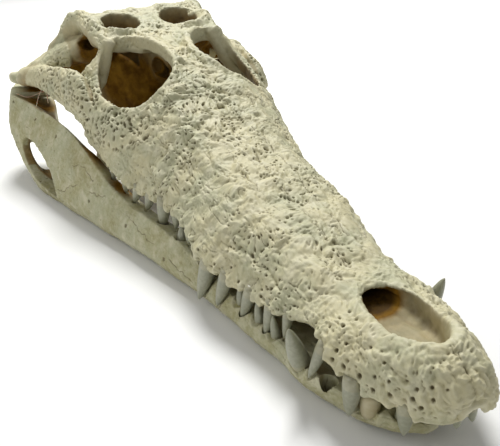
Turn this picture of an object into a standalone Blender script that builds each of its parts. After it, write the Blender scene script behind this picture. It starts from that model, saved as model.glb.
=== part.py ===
"""Crocodile skull: cranium with its upper teeth, and the two halves of the lower jaw with theirs.

Every size below is a share of DCL, the length of the cranium along its top, so the one length sets
the whole skull. The shapes are made level, with the snout tip at y = 0 and the edge of the upper
jaw at z = 0, and a parent empty then tips the skull forward until its lower jaw rests on z = 0.
x is the animal's left, y runs backward and z up.
"""
import math

import bmesh
import bpy
import numpy as np
from mathutils import Matrix, Vector

DCL = 0.400               # dorsal cranial length: snout tip to the rear edge of the skull table
PITCH = math.radians(6.3)  # the snout hangs this much when the lower jaw rests on the floor
LIFT = 0.0210             # height of the level skull's origin above the floor, metres
REAR = -0.2333            # moves the middle of the skull's length over the origin, metres
VOXEL = 0.0022            # grain of the fused bone before it is thinned, metres
CRANIUM_FACES = 3480
RAMUS_FACES = 720

# Upper jaw and cheek: y, half width, height of the lower edge
EDGE = [
    (0.000, 0.022, 0.016), (0.008, 0.035, 0.011), (0.020, 0.045, 0.007), (0.050, 0.060, 0.003),
    (0.100, 0.077, -0.004), (0.140, 0.084, 0.003), (0.168, 0.077, 0.014), (0.200, 0.083, 0.002),
    (0.250, 0.095, -0.012), (0.300, 0.106, -0.019), (0.344, 0.116, -0.022),
    (0.385, 0.125, -0.026), (0.430, 0.123, -0.016), (0.480, 0.121, -0.010),
    (0.540, 0.132, -0.013), (0.600, 0.149, -0.022), (0.660, 0.164, -0.020),
    (0.740, 0.172, -0.010), (0.800, 0.180, 0.014), (0.860, 0.187, 0.026)]
# Roof of the snout and face: y, then its height at these shares of the half width
SHARES = (0.0, 0.2, 0.4, 0.6, 0.8, 0.93)
ROOF = [
    (0.000, 0.040, 0.040, 0.039, 0.038, 0.035, 0.031),
    (0.008, 0.053, 0.053, 0.051, 0.047, 0.040, 0.032),
    (0.020, 0.061, 0.061, 0.058, 0.053, 0.041, 0.031),
    (0.050, 0.068, 0.068, 0.065, 0.056, 0.040, 0.028),
    (0.100, 0.060, 0.060, 0.057, 0.051, 0.038, 0.025),
    (0.140, 0.052, 0.052, 0.052, 0.048, 0.038, 0.027),
    (0.170, 0.045, 0.047, 0.049, 0.046, 0.037, 0.030),
    (0.200, 0.047, 0.049, 0.050, 0.044, 0.029, 0.017),
    (0.250, 0.053, 0.054, 0.053, 0.043, 0.022, 0.004),
    (0.300, 0.058, 0.059, 0.057, 0.045, 0.021, 0.000),
    (0.344, 0.063, 0.063, 0.061, 0.048, 0.022, -0.001),
    (0.400, 0.069, 0.069, 0.067, 0.053, 0.027, 0.005),
    (0.450, 0.074, 0.074, 0.072, 0.057, 0.032, 0.013),
    (0.500, 0.080, 0.081, 0.079, 0.062, 0.035, 0.015),
    (0.550, 0.088, 0.090, 0.089, 0.070, 0.038, 0.015),
    (0.600, 0.100, 0.104, 0.103, 0.081, 0.042, 0.011),
    (0.650, 0.118, 0.124, 0.119, 0.091, 0.049, 0.019),
    (0.720, 0.136, 0.147, 0.126, 0.098, 0.074, 0.046),
    (0.780, 0.142, 0.151, 0.140, 0.108, 0.081, 0.058),
    (0.860, 0.147, 0.152, 0.150, 0.136, 0.096, 0.070)]
ROOF_WALL = 0.022         # thickness of the bone over the eye and cheek space
CHEEK_WALL = 0.030
PALATE_STEP = 0.012       # height of the palate above the tooth-bearing edge
EDGE_BAND = 0.024         # width of that edge

# Openings in plan: centre x, y, half length across, half length along, turn, sharpness
ORBIT = ((0.083, 0.766), (0.0565, 0.0955), math.radians(6.3))
UPPER_FENESTRA = ((0.059, 0.930), (0.038, 0.041), math.radians(-6))
NARIS = ((0.0, 0.114), (0.032, 0.060), 0.0)
SUBORBITAL = ((0.080, 0.640), (0.032, 0.110), math.radians(8))
# Skull table: y, half width, height of its top, thickness
TABLE = [
    (0.835, 0.098, 0.145, 0.024), (0.851, 0.113, 0.147, 0.026), (0.900, 0.120, 0.153, 0.028),
    (0.950, 0.123, 0.159, 0.036), (0.985, 0.124, 0.164, 0.044), (0.999, 0.122, 0.162, 0.042)]
# Rear corners of the table: place, half width, half height along each bar
TABLE_HORN = [((0.100, 0.945, 0.145), 0.016, 0.014), ((0.107, 0.985, 0.145), 0.018, 0.020),
              ((0.118, 1.016, 0.142), 0.018, 0.022), ((0.134, 1.034, 0.120), 0.018, 0.020)]
# Braincase: y, half width, top, bottom
BRAINCASE = [
    (0.800, 0.014, 0.132, 0.088), (0.840, 0.022, 0.136, 0.060), (0.880, 0.032, 0.140, 0.020),
    (0.930, 0.042, 0.144, -0.010), (0.980, 0.050, 0.148, -0.028), (1.006, 0.047, 0.144, -0.026),
    (1.024, 0.036, 0.118, -0.012)]
# Back wall of the skull: half width, top and bottom at y, from the braincase out to the ear region
OCCIPUT = [(0.960, 0.100, 0.145, 0.078), (0.985, 0.116, 0.146, 0.072), (1.010, 0.108, 0.134, 0.072)]
# Bars: (x, y, z), half width, half height along each bar
POSTORBITAL = [
    ((0.103, 0.866, 0.138), 0.018, 0.014), ((0.110, 0.858, 0.115), 0.011, 0.012),
    ((0.119, 0.850, 0.092), 0.010, 0.012), ((0.135, 0.843, 0.072), 0.011, 0.012),
    ((0.154, 0.836, 0.056), 0.012, 0.014)]
TEMPORAL_BAR = [
    ((0.168, 0.795, 0.054), 0.014, 0.026), ((0.174, 0.850, 0.064), 0.013, 0.036),
    ((0.181, 0.905, 0.055), 0.012, 0.034), ((0.191, 0.955, 0.051), 0.013, 0.029),
    ((0.203, 1.000, 0.046), 0.016, 0.024), ((0.217, 1.036, 0.039), 0.018, 0.021),
    ((0.234, 1.062, 0.032), 0.019, 0.018)]
QUADRATE = [
    ((0.080, 0.945, 0.106), 0.028, 0.026), ((0.114, 0.982, 0.098), 0.032, 0.026),
    ((0.146, 1.014, 0.083), 0.036, 0.024), ((0.178, 1.038, 0.062), 0.040, 0.020),
    ((0.204, 1.056, 0.044), 0.042, 0.017), ((0.219, 1.066, 0.034), 0.040, 0.015)]
QUADRATE_WING = [((0.036, 0.895, 0.010), 0.026, 0.056), ((0.074, 0.942, 0.034), 0.020, 0.064),
                 ((0.106, 0.984, 0.060), 0.018, 0.048), ((0.140, 1.012, 0.056), 0.016, 0.036),
                 ((0.170, 1.034, 0.046), 0.014, 0.022)]
EAR = [((0.110, 0.962, 0.108), 0.016, 0.007), ((0.122, 0.955, 0.114), 0.022, 0.010),
       ((0.142, 0.945, 0.124), 0.022, 0.011)]       # the ear's recess, under the table's edge
TEMPORAL_BAR_ROLL = math.radians(-20)   # the bar's top leans inward
QUADRATE_ROLL = math.radians(12)        # the plate falls toward its outer edge
CONDYLE = [((0.178, 1.064, 0.026), 0.012, 0.012), ((0.198, 1.069, 0.025), 0.015, 0.014),
           ((0.217, 1.073, 0.027), 0.012, 0.012), ((0.238, 1.076, 0.026), 0.016, 0.015),
           ((0.254, 1.076, 0.029), 0.013, 0.013)]
PALATINE = [((0.0, 0.460, 0.036), 0.032, 0.018), ((0.0, 0.560, 0.030), 0.030, 0.022),
            ((0.0, 0.680, 0.022), 0.030, 0.022), ((0.0, 0.780, 0.010), 0.040, 0.018),
            ((0.0, 0.860, -0.004), 0.052, 0.018)]
PTERYGOID = [((0.0, 0.860, -0.006), 0.062, 0.014), ((0.050, 0.852, -0.012), 0.058, 0.011),
             ((0.092, 0.842, -0.030), 0.052, 0.010), ((0.124, 0.836, -0.054), 0.046, 0.012),
             ((0.140, 0.836, -0.078), 0.038, 0.012)]
ECTOPTERYGOID = [((0.146, 0.700, 0.028), 0.014, 0.016), ((0.149, 0.752, 0.014), 0.013, 0.015),
                 ((0.142, 0.795, -0.014), 0.013, 0.015), ((0.134, 0.826, -0.048), 0.013, 0.014)]
PREFRONTAL_PILLAR = [((0.048, 0.662, 0.112), 0.016, 0.014), ((0.034, 0.668, 0.070), 0.010, 0.010),
                     ((0.026, 0.674, 0.026), 0.014, 0.012)]
NECK_CONDYLE = (0.0, 1.040, 0.034)     # ball that the neck turns on
NECK_CONDYLE_RADIUS = 0.023
FORAMEN = (0.0, 1.030, 0.080)          # where the spinal cord leaves
FORAMEN_RADIUS = 0.017
CHOANA = (0.0, 0.895, -0.022)          # inner nostril
CHOANA_RADIUS = 0.017

# Lower jaw: y, top x and z, bulge x and z, foot x and z, inner x, width of the top and how steeply
# it falls inward
RAMUS = [
    (0.034, 0.016, -0.022, 0.023, -0.029, 0.014, -0.038, 0.0005, 0.012, 0.30),
    (0.048, 0.035, -0.022, 0.040, -0.032, 0.028, -0.044, 0.0005, 0.029, 0.30),
    (0.070, 0.054, -0.023, 0.058, -0.037, 0.043, -0.052, 0.0005, 0.045, 0.30),
    (0.100, 0.066, -0.025, 0.070, -0.043, 0.055, -0.061, 0.0005, 0.048, 0.30),
    (0.146, 0.085, -0.026, 0.087, -0.044, 0.068, -0.068, 0.0005, 0.046, 0.30),
    (0.172, 0.091, -0.026, 0.095, -0.046, 0.074, -0.071, 0.008, 0.040, 0.30),
    (0.205, 0.086, -0.036, 0.093, -0.053, 0.076, -0.076, 0.020, 0.030, 0.30),
    (0.250, 0.091, -0.042, 0.101, -0.058, 0.084, -0.082, 0.034, 0.028, 0.30),
    (0.300, 0.097, -0.044, 0.109, -0.064, 0.092, -0.087, 0.046, 0.028, 0.30),
    (0.350, 0.104, -0.045, 0.117, -0.068, 0.100, -0.093, 0.058, 0.028, 0.30),
    (0.405, 0.113, -0.041, 0.128, -0.072, 0.110, -0.097, 0.072, 0.028, 0.30),
    (0.460, 0.124, -0.037, 0.142, -0.078, 0.124, -0.103, 0.088, 0.028, 0.30),
    (0.516, 0.137, -0.037, 0.157, -0.084, 0.140, -0.108, 0.104, 0.028, 0.30),
    (0.580, 0.151, -0.041, 0.176, -0.090, 0.158, -0.115, 0.122, 0.028, 0.30),
    (0.650, 0.168, -0.037, 0.196, -0.096, 0.179, -0.122, 0.140, 0.027, 0.30),
    (0.700, 0.181, -0.022, 0.211, -0.100, 0.196, -0.128, 0.154, 0.026, 0.50),
    (0.750, 0.190, -0.003, 0.224, -0.105, 0.210, -0.134, 0.166, 0.024, 0.80),
    (0.800, 0.195, 0.003, 0.238, -0.109, 0.224, -0.140, 0.176, 0.019, 1.40),
    (0.860, 0.205, 0.005, 0.254, -0.114, 0.240, -0.149, 0.184, 0.021, 1.50),
    (0.920, 0.218, 0.003, 0.268, -0.118, 0.254, -0.155, 0.192, 0.026, 1.25),
    (0.970, 0.232, 0.002, 0.276, -0.108, 0.256, -0.150, 0.196, 0.034, 1.00),
    (1.020, 0.250, 0.003, 0.281, -0.085, 0.254, -0.136, 0.190, 0.040, 0.80),
    (1.060, 0.264, 0.002, 0.279, -0.062, 0.250, -0.114, 0.180, 0.060, 0.50),
    (1.090, 0.262, -0.003, 0.272, -0.050, 0.246, -0.098, 0.180, 0.064, 0.30),
    (1.120, 0.250, -0.002, 0.256, -0.036, 0.238, -0.078, 0.188, 0.054, 0.30),
    (1.155, 0.238, 0.004, 0.243, -0.018, 0.230, -0.048, 0.198, 0.034, 0.30),
    (1.176, 0.230, 0.006, 0.233, -0.004, 0.224, -0.022, 0.206, 0.019, 0.30)]
JAW_FENESTRA = ((0.900, -0.092), (0.086, 0.026), math.radians(16))   # y and z, half sizes, turn
ADDUCTOR = [((0.172, 0.745, -0.058), 0.016, 0.026), ((0.184, 0.800, -0.066), 0.026, 0.040),
            ((0.195, 0.860, -0.074), 0.034, 0.050), ((0.208, 0.920, -0.078), 0.038, 0.056),
            ((0.220, 0.975, -0.082), 0.034, 0.050), ((0.228, 1.010, -0.090), 0.024, 0.034)]
ADDUCTOR_ROLL = math.radians(-22)
JAW_FLOOR = [((0.230, 0.975, -0.132), 0.022, 0.026), ((0.238, 1.005, -0.124), 0.020, 0.030),
             ((0.242, 1.040, -0.112), 0.014, 0.026)]
ARTICULAR = [((0.190, 1.066, -0.006), 0.020, 0.013), ((0.222, 1.070, -0.004), 0.022, 0.013),
             ((0.256, 1.074, -0.002), 0.018, 0.012)]
GLENOID = [((0.170, 1.064, 0.024), 0.014, 0.014), ((0.198, 1.069, 0.023), 0.018, 0.017),
           ((0.217, 1.073, 0.025), 0.015, 0.015), ((0.238, 1.076, 0.024), 0.019, 0.018),
           ((0.266, 1.076, 0.027), 0.017, 0.017)]

# Teeth of one side: y, inset from the jaw's outline, length, radius, lean outward, lean backward,
# and the width of a worn tip as a share of the base
UPPER_TEETH = [
    (0.012, 0.030, 0.016, 0.0055, 0.00, -0.25), (0.042, 0.011, 0.033, 0.0090, -0.05, -0.15),
    (0.097, 0.007, 0.041, 0.0110, 0.04, -0.13), (0.146, 0.006, 0.044, 0.0075, 0.20, 0.10),
    (0.220, 0.010, 0.037, 0.0065, 0.02, 0.03), (0.250, 0.011, 0.045, 0.0085, 0.10, 0.00),
    (0.290, 0.011, 0.047, 0.0090, 0.10, 0.20), (0.338, 0.011, 0.052, 0.0105, 0.17, 0.14),
    (0.378, 0.012, 0.062, 0.0125, 0.17, 0.09), (0.405, 0.012, 0.019, 0.0065, 0.00, 0.20),
    (0.450, 0.011, 0.027, 0.0080, 0.00, 0.12), (0.502, 0.011, 0.030, 0.0085, 0.05, -0.08),
    (0.535, 0.011, 0.044, 0.0115, 0.10, -0.08), (0.574, 0.012, 0.030, 0.0085, 0.14, 0.20),
    (0.608, 0.012, 0.028, 0.0085, 0.16, 0.18), (0.641, 0.012, 0.025, 0.0080, 0.00, 0.16),
    (0.686, 0.012, 0.022, 0.0075, 0.12, 0.00)]
LOWER_TEETH = [
    (0.058, 0.011, 0.012, 0.0060, 0.00, -0.10), (0.084, 0.007, 0.021, 0.0110, 0.10, 0.05, 0.5),
    (0.174, 0.005, 0.060, 0.0120, 0.41, -0.07), (0.235, 0.005, 0.032, 0.0062, 0.20, 0.06),
    (0.270, 0.005, 0.032, 0.0065, 0.16, 0.08), (0.314, 0.006, 0.030, 0.0070, 0.14, 0.00),
    (0.358, 0.011, 0.024, 0.0065, 0.00, 0.00), (0.428, 0.012, 0.026, 0.0070, 0.02, 0.00),
    (0.476, 0.013, 0.024, 0.0070, 0.00, 0.00)]
EMPTY_SOCKET = ((0.073, 0.133, -0.025), 0.0110, 0.026)     # place, radius and depth of a lost tooth
TOOTH_ROOT = 0.012        # how far a tooth runs into the bone
TOOTH_TIP = 0.12          # width of a sharp tip as a share of the base
TOOTH_SIDES = 6


def through(rows, where):
    """Values at one place on the smooth curve through rows of (place, a, b, ...), no overshoot."""
    table = np.array(rows, float)
    places, values = table[:, 0], table[:, 1:]
    steps = np.diff(places)[:, None]
    slopes = np.diff(values, axis=0) / steps
    tangents = np.zeros_like(values)
    tangents[0], tangents[-1] = slopes[0], slopes[-1]
    before, after = slopes[:-1], slopes[1:]
    same_way = before * after > 0.0
    both = np.where(same_way, before + after, 1.0)
    tangents[1:-1] = np.where(same_way, 2.0 * before * after / both, 0.0)
    k = int(np.clip(np.searchsorted(places, where) - 1, 0, len(places) - 2))
    step = steps[k, 0]
    t = (where - places[k]) / step
    start = values[k] * (1 + 2 * t) * (1 - t) ** 2 + tangents[k] * step * t * (1 - t) ** 2
    end = values[k + 1] * t * t * (3 - 2 * t) - tangents[k + 1] * step * t * t * (1 - t)
    return start + end


def spread(rows, most):
    """Stations along rows, at most `most` apart, that keep the rows' own places."""
    places = [row[0] for row in rows]
    stations = [places[0]]
    for first, last in zip(places, places[1:]):
        count = max(1, math.ceil((last - first) / most))
        stations += [first + (last - first) * (i + 1) / count for i in range(count)]
    return stations


def link(mesh_name, bm):
    """Make an object from a bmesh given in shares of DCL, with its faces pointing out."""
    bmesh.ops.scale(bm, vec=(DCL, DCL, DCL), verts=bm.verts)
    bmesh.ops.recalc_face_normals(bm, faces=bm.faces)
    mesh = bpy.data.meshes.new(mesh_name)
    bm.to_mesh(mesh)
    bm.free()
    made = bpy.data.objects.new(mesh_name, mesh)
    bpy.context.scene.collection.objects.link(made)
    return made


def loft_into(bm, rings):
    """Join closed rings of equally many points into one capped body."""
    loops = [[bm.verts.new(point) for point in ring] for ring in rings]
    count = len(loops[0])
    for here, there in zip(loops, loops[1:]):
        for i in range(count):
            j = (i + 1) % count
            bm.faces.new((here[i], here[j], there[j], there[i]))
    bm.faces.new(loops[0])
    bm.faces.new(loops[-1])


def mirrored(rings):
    """The same rings on the other side of the middle plane."""
    return [[(-x, y, z) for x, y, z in ring] for ring in rings]


def roof_height(x, y):
    """Height of the snout and face at x, y."""
    half, low = through(EDGE, y)
    heights = list(through(ROOF, y)) + [low + 0.010]
    profile = [(share, height) for share, height in zip(SHARES + (1.0,), heights)]
    return float(through(profile, min(abs(x) / half, 1.0))[0])


def face_ring(y):
    """Section of the snout or face: roof, side, tooth-bearing edge and palate."""
    half, low = through(EDGE, y)
    band = min(EDGE_BAND, 0.45 * half)
    step = min(PALATE_STEP, 0.35 * (roof_height(0.0, y) - low))
    shares = (0.12, 0.25, 0.38, 0.50, 0.62, 0.74, 0.85, 0.93, 0.98)
    side = [(share * half, roof_height(share * half, y)) for share in shares]
    side += [(half, low + 0.010), (half - 0.003, low + 0.002), (half - 0.010, low - 0.001)]
    side += [(half - band, low + 0.001), (half - 1.35 * band, low + step)]
    side += [(0.3 * half, low + 1.15 * step)]
    top = [(0.0, y, roof_height(0.0, y))]
    bottom = [(0.0, y, low + 1.15 * step)]
    right = [(-x, y, z) for x, z in side]
    left = [(x, y, z) for x, z in reversed(side)]
    return top + right + bottom + left


def bar_rings(path, roll=0.0, sides=10, parts=3):
    """Oval rings along a bar of (place, half width, half height), rolled about its own length."""
    rows = [(i, *place, wide, high) for i, (place, wide, high) in enumerate(path)]
    last = len(rows) - 1
    stops = [i / parts for i in range(last * parts + 1)]
    spine = [through(rows, stop) for stop in stops]
    rings = []
    for i, values in enumerate(spine):
        ahead, behind = spine[min(i + 1, len(spine) - 1)], spine[max(i - 1, 0)]
        along = Vector(ahead[:3] - behind[:3]).normalized()
        across = along.cross(Vector((0, 0, 1)))
        if across.length < 0.35:
            across = Vector((1, 0, 0)) - along * along.x
        across.normalize()
        up = across.cross(along)
        across, up = (across * math.cos(roll) - up * math.sin(roll),
                      up * math.cos(roll) + across * math.sin(roll))
        ring = []
        for k in range(sides):
            angle = 2 * math.pi * k / sides
            offset = across * math.cos(angle) * values[3] + up * math.sin(angle) * values[4]
            ring.append(tuple(Vector(values[:3]) + offset))
        rings.append(ring)
    return closed_ends(rings, [values[4] for values in spine])


def closed_ends(rings, radii):
    """Add a smaller ring beyond each end, so that the bar ends round."""
    def beyond(ring, inner, radius):
        centre = sum((Vector(p) for p in ring), Vector()) / len(ring)
        inward = sum((Vector(p) for p in inner), Vector()) / len(inner)
        way = (centre - inward).normalized() * radius * 0.6
        return [tuple(centre + way + (Vector(p) - centre) * 0.45) for p in ring]
    first = beyond(rings[0], rings[1], radii[0])
    final = beyond(rings[-1], rings[-2], radii[-1])
    return [first] + rings + [final]


def bars(name, paths, both_sides=True, roll=0.0):
    """One object holding a bar for each path, and its mirror image."""
    bm = bmesh.new()
    for path in paths:
        rings = bar_rings(path, roll)
        loft_into(bm, rings)
        if both_sides:
            loft_into(bm, mirrored(rings))
    return link(name, bm)


def box_rings(rows, corner=0.35):
    """Rings of a flat-sided block: rows of y, half width, top and bottom, corners taken off."""
    rings = []
    for y, half, top, bottom in rows:
        cut = corner * min(half, 0.5 * (top - bottom))
        right = [(half - cut, top), (half, top - cut), (half, bottom + cut), (half - cut, bottom)]
        ring = [(-x, y, z) for x, z in right] + [(x, y, z) for x, z in reversed(right)]
        rings.append(ring)
    return rings


def plan_cutter(name, opening, low, high, flare=1.0, sides=24):
    """Upright cutters for an oval opening on both sides, wider at the top by flare."""
    (x, y), (wide, long), turn = opening
    bm = bmesh.new()
    for side in ((1, -1) if x else (1,)):
        rings = []
        for z, size in ((low, 1.0), (high, flare)):
            ring = []
            for k in range(sides):
                angle = 2 * math.pi * k / sides
                across, along = wide * size * math.cos(angle), long * size * math.sin(angle)
                rx = across * math.cos(turn) + along * math.sin(turn)
                ry = along * math.cos(turn) - across * math.sin(turn)
                ring.append((side * (x + rx), y + ry, z))
            rings.append(ring)
        loft_into(bm, rings)
    return link(name, bm)


def apply_boolean(body, tool, operation):
    """Cut, join or clip one object with another, and discard the second."""
    modifier = body.modifiers.new(operation, "BOOLEAN")
    modifier.operation = operation
    modifier.solver = "EXACT"
    modifier.use_self = True
    modifier.object = tool
    freeze(body)
    bpy.data.objects.remove(tool)


def freeze(body):
    """Replace an object's mesh by what its modifiers make of it."""
    bpy.context.view_layer.update()
    graph = bpy.context.evaluated_depsgraph_get()
    mesh = bpy.data.meshes.new_from_object(body.evaluated_get(graph))
    body.modifiers.clear()
    body.data = mesh


def gather(name, pieces):
    """Put overlapping closed pieces into one object, still as separate shells."""
    bm = bmesh.new()
    for piece in pieces:
        bm.from_mesh(piece.data)
        bpy.data.objects.remove(piece)
    mesh = bpy.data.meshes.new(name)
    bm.to_mesh(mesh)
    bm.free()
    made = bpy.data.objects.new(name, mesh)
    bpy.context.scene.collection.objects.link(made)
    return made


def fuse(body, faces):
    """Melt the shells into one bone, smooth its joins and thin it to about this many faces."""
    remesh = body.modifiers.new("fuse", "REMESH")
    remesh.mode = "VOXEL"
    remesh.voxel_size = VOXEL
    smooth = body.modifiers.new("smooth", "SMOOTH")
    smooth.factor = 0.5
    smooth.iterations = 3
    freeze(body)
    body.data.calc_loop_triangles()
    thin = body.modifiers.new("thin", "DECIMATE")
    thin.ratio = faces / len(body.data.loop_triangles)
    freeze(body)


def tooth_rings(base, axis, length, radius, tip):
    """A conical crown, slightly curved inward, with its root in the bone."""
    side = axis.cross(Vector((0, 1, 0))).normalized()
    other = side.cross(axis)
    rings = []
    middle = max(0.74, 0.5 + 0.8 * tip)
    for share, size in ((-1.0, 0.9), (0.0, 1.0), (0.55, middle), (1.0, tip)):
        reach = TOOTH_ROOT if share < 0 else length
        bend = side * 0.06 * length * max(share, 0.0) ** 2
        centre = base + axis * share * reach + bend
        ring = []
        for k in range(TOOTH_SIDES):
            angle = 2 * math.pi * (k + 0.5) / TOOTH_SIDES
            ring.append(tuple(centre + radius * size *
                              (side * math.cos(angle) + other * math.sin(angle))))
        rings.append(ring)
    return rings


def tooth_places(rows, upper):
    """Base, direction, length, radius and tip of each tooth of the left side."""
    places = []
    for y, inset, length, radius, out, back, *worn in rows:
        if upper:
            half, low = through(EDGE, y)
            base = Vector((half - inset, y, low + 0.003))
            axis = Vector((out, back, -1.0)).normalized()
        else:
            values = through(RAMUS, y)
            base = Vector((values[0] - inset, y, values[1] - 0.003))
            axis = Vector((out, back, 1.0)).normalized()
        places.append((base, axis, length, radius, worn[0] if worn else TOOTH_TIP))
    return places


def teeth(name, rows, upper, grow=0.0, sides=(1, -1)):
    """One object with a crown for each tooth, fatter and longer by grow."""
    bm = bmesh.new()
    for base, axis, length, radius, tip in tooth_places(rows, upper):
        rings = tooth_rings(base, axis, length + 2 * grow, radius + grow, tip)
        if 1 in sides:
            loft_into(bm, rings)
        if -1 in sides:
            loft_into(bm, mirrored(rings))
    return link(name, bm)


def make_face():
    """Snout, forehead and cheeks, hollow under the eyes, with the eye and nose openings."""
    bm = bmesh.new()
    loft_into(bm, [face_ring(y) for y in spread(EDGE, 0.025)])
    face = link("face", bm)
    bm = bmesh.new()
    rings = []
    for y in spread([(0.640,), (0.890,)], 0.03):
        level = min(y, 0.86)
        half = through(EDGE, level)[0] - CHEEK_WALL
        xs = [half * share for share in (-1.0, -0.75, -0.5, -0.25, 0.0, 0.25, 0.5, 0.75, 1.0)]
        top = [(x, y, roof_height(x, level) - ROOF_WALL) for x in xs]
        rings.append(top + [(half, y, -0.15), (-half, y, -0.15)])
    loft_into(bm, rings)
    apply_boolean(face, link("eye_space", bm), "DIFFERENCE")
    apply_boolean(face, plan_cutter("orbit", ORBIT, 0.030, 0.200), "DIFFERENCE")
    apply_boolean(face, plan_cutter("suborbital", SUBORBITAL, -0.08, 0.052), "DIFFERENCE")
    apply_boolean(face, plan_cutter("naris", NARIS, 0.031, 0.120, 1.06), "DIFFERENCE")
    return face


def make_back():
    """Skull table, braincase, back wall and the table's two upper openings."""
    bm = bmesh.new()
    loft_into(bm, box_rings([(y, half, top, top - thick) for y, half, top, thick in TABLE], 0.5))
    table = link("table", bm)
    apply_boolean(table, plan_cutter("fenestra", UPPER_FENESTRA, 0.06, 0.20), "DIFFERENCE")
    apply_boolean(table, plan_cutter("orbit", ORBIT, 0.030, 0.200), "DIFFERENCE")
    bm = bmesh.new()
    loft_into(bm, box_rings(BRAINCASE, 0.8))
    braincase = link("braincase", bm)
    bm = bmesh.new()
    loft_into(bm, box_rings(OCCIPUT, 0.5))
    occiput = link("occiput", bm)
    for piece in (braincase, occiput):
        hole = plan_cutter("fenestra", UPPER_FENESTRA, 0.06, 0.20, sides=16)
        apply_boolean(piece, hole, "DIFFERENCE")
    return [table, braincase, occiput]


def ball(name, place, radius, along=1.0):
    """A ball, or an oval one that is longer along y."""
    bm = bmesh.new()
    bmesh.ops.create_icosphere(bm, subdivisions=2, radius=radius)
    bmesh.ops.scale(bm, vec=(1.0, along, 1.0), verts=bm.verts)
    bmesh.ops.translate(bm, vec=place, verts=bm.verts)
    return link(name, bm)


def make_cranium():
    """The whole cranium as one bone, then its teeth."""
    pieces = [make_face()] + make_back()
    pieces.append(bars("struts", [POSTORBITAL, TABLE_HORN, CONDYLE, PTERYGOID, ECTOPTERYGOID,
                                  PREFRONTAL_PILLAR, QUADRATE_WING]))
    pieces.append(bars("temporal_bar", [TEMPORAL_BAR], roll=TEMPORAL_BAR_ROLL))
    pieces.append(bars("quadrate", [QUADRATE], roll=QUADRATE_ROLL))
    pieces.append(bars("palatine", [PALATINE], both_sides=False))
    pieces.append(ball("neck_condyle", NECK_CONDYLE, NECK_CONDYLE_RADIUS))
    cranium = gather("cranium", pieces)
    fuse(cranium, CRANIUM_FACES)
    apply_boolean(cranium, ball("foramen", FORAMEN, FORAMEN_RADIUS, 3.0), "DIFFERENCE")
    apply_boolean(cranium, ball("choana", CHOANA, CHOANA_RADIUS, 1.3), "DIFFERENCE")
    apply_boolean(cranium, bars("ear", [EAR]), "DIFFERENCE")
    pits = teeth("pits", LOWER_TEETH, False, grow=0.0030)
    apply_boolean(cranium, pits, "DIFFERENCE")
    apply_boolean(cranium, teeth("upper", UPPER_TEETH, True), "UNION")
    return cranium


def ramus_ring(y):
    """Section of the left half of the lower jaw, rounded through its corner points."""
    top_x, top_z, bulge_x, bulge_z, foot_x, foot_z, inner_x, thick, fall = through(RAMUS, y)
    middle = 0.5 * (top_z + foot_z)
    inner_z = top_z - fall * thick
    corners = [(top_x - thick, inner_z), (top_x - 0.5 * thick, top_z - 0.4 * fall * thick),
               (top_x, top_z),
               (0.45 * top_x + 0.55 * bulge_x, 0.6 * top_z + 0.4 * bulge_z), (bulge_x, bulge_z),
               (0.35 * foot_x + 0.65 * bulge_x, 0.6 * foot_z + 0.4 * bulge_z),
               (foot_x, foot_z), (0.5 * (foot_x + inner_x), foot_z + 0.002),
               (inner_x, 0.75 * foot_z + 0.25 * middle), (inner_x, middle),
               (inner_x, min(0.7 * top_z + 0.3 * middle, inner_z - 0.002))]
    return [(max(x, inner_x), y, z) for x, z in corners]


def cut_sole(ramus):
    """Take off what lies below the floor, which leaves a few small flats at one level."""
    bm = bmesh.new()
    bm.from_mesh(ramus.data)
    floor_up = Vector((0.0, math.sin(PITCH), math.cos(PITCH)))
    whole = bm.verts[:] + bm.edges[:] + bm.faces[:]
    cut = bmesh.ops.bisect_plane(bm, geom=whole, plane_co=-LIFT * floor_up, plane_no=floor_up,
                                 clear_inner=True)
    rim = [item for item in cut["geom_cut"] if isinstance(item, bmesh.types.BMEdge)]
    bmesh.ops.holes_fill(bm, edges=rim)
    bmesh.ops.triangulate(bm, faces=bm.faces[:])
    bm.to_mesh(ramus.data)
    bm.free()


def make_ramus(name, side):
    """One half of the lower jaw with its teeth; side is 1 for the left and -1 for the right."""
    bm = bmesh.new()
    loft_into(bm, [ramus_ring(y) for y in spread(RAMUS, 0.02)])
    ramus = link(name, bm)
    space = bars("muscle_space", [ADDUCTOR], both_sides=False, roll=ADDUCTOR_ROLL)
    apply_boolean(ramus, space, "DIFFERENCE")
    apply_boolean(ramus, bars("floor", [JAW_FLOOR], both_sides=False), "DIFFERENCE")
    (y, z), (long, high), turn = JAW_FENESTRA
    bm = bmesh.new()
    rings = []
    for x in (0.215, 0.320):
        ring = []
        for k in range(18):
            angle = 2 * math.pi * k / 18
            across, up = long * math.cos(angle), high * math.sin(angle)
            ring.append((x, y + across * math.cos(turn) - up * math.sin(turn),
                         z + up * math.cos(turn) + across * math.sin(turn)))
        rings.append(ring)
    loft_into(bm, rings)
    apply_boolean(ramus, link("fenestra", bm), "DIFFERENCE")
    place, radius, depth = EMPTY_SOCKET
    bm = bmesh.new()
    turned = Matrix.Translation((place[0], place[1], place[2] + 0.2 * depth))
    bmesh.ops.create_cone(bm, cap_ends=True, segments=12, radius1=0.6 * radius,
                          radius2=radius, depth=2.0 * depth, matrix=turned)
    apply_boolean(ramus, link("socket", bm), "DIFFERENCE")
    ramus = gather(name, [ramus, bars("articular", [ARTICULAR], both_sides=False)])
    fuse(ramus, RAMUS_FACES)
    apply_boolean(ramus, bars("glenoid", [GLENOID], both_sides=False), "DIFFERENCE")
    grooves = teeth("grooves", UPPER_TEETH, True, grow=0.0030, sides=(1,))
    apply_boolean(ramus, grooves, "DIFFERENCE")
    apply_boolean(ramus, teeth("lower", LOWER_TEETH, False, sides=(1,)), "UNION")
    cut_sole(ramus)
    if side < 0:
        ramus.data.transform(Matrix.Scale(-1.0, 4, (1, 0, 0)))
        ramus.data.flip_normals()
    return ramus


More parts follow.
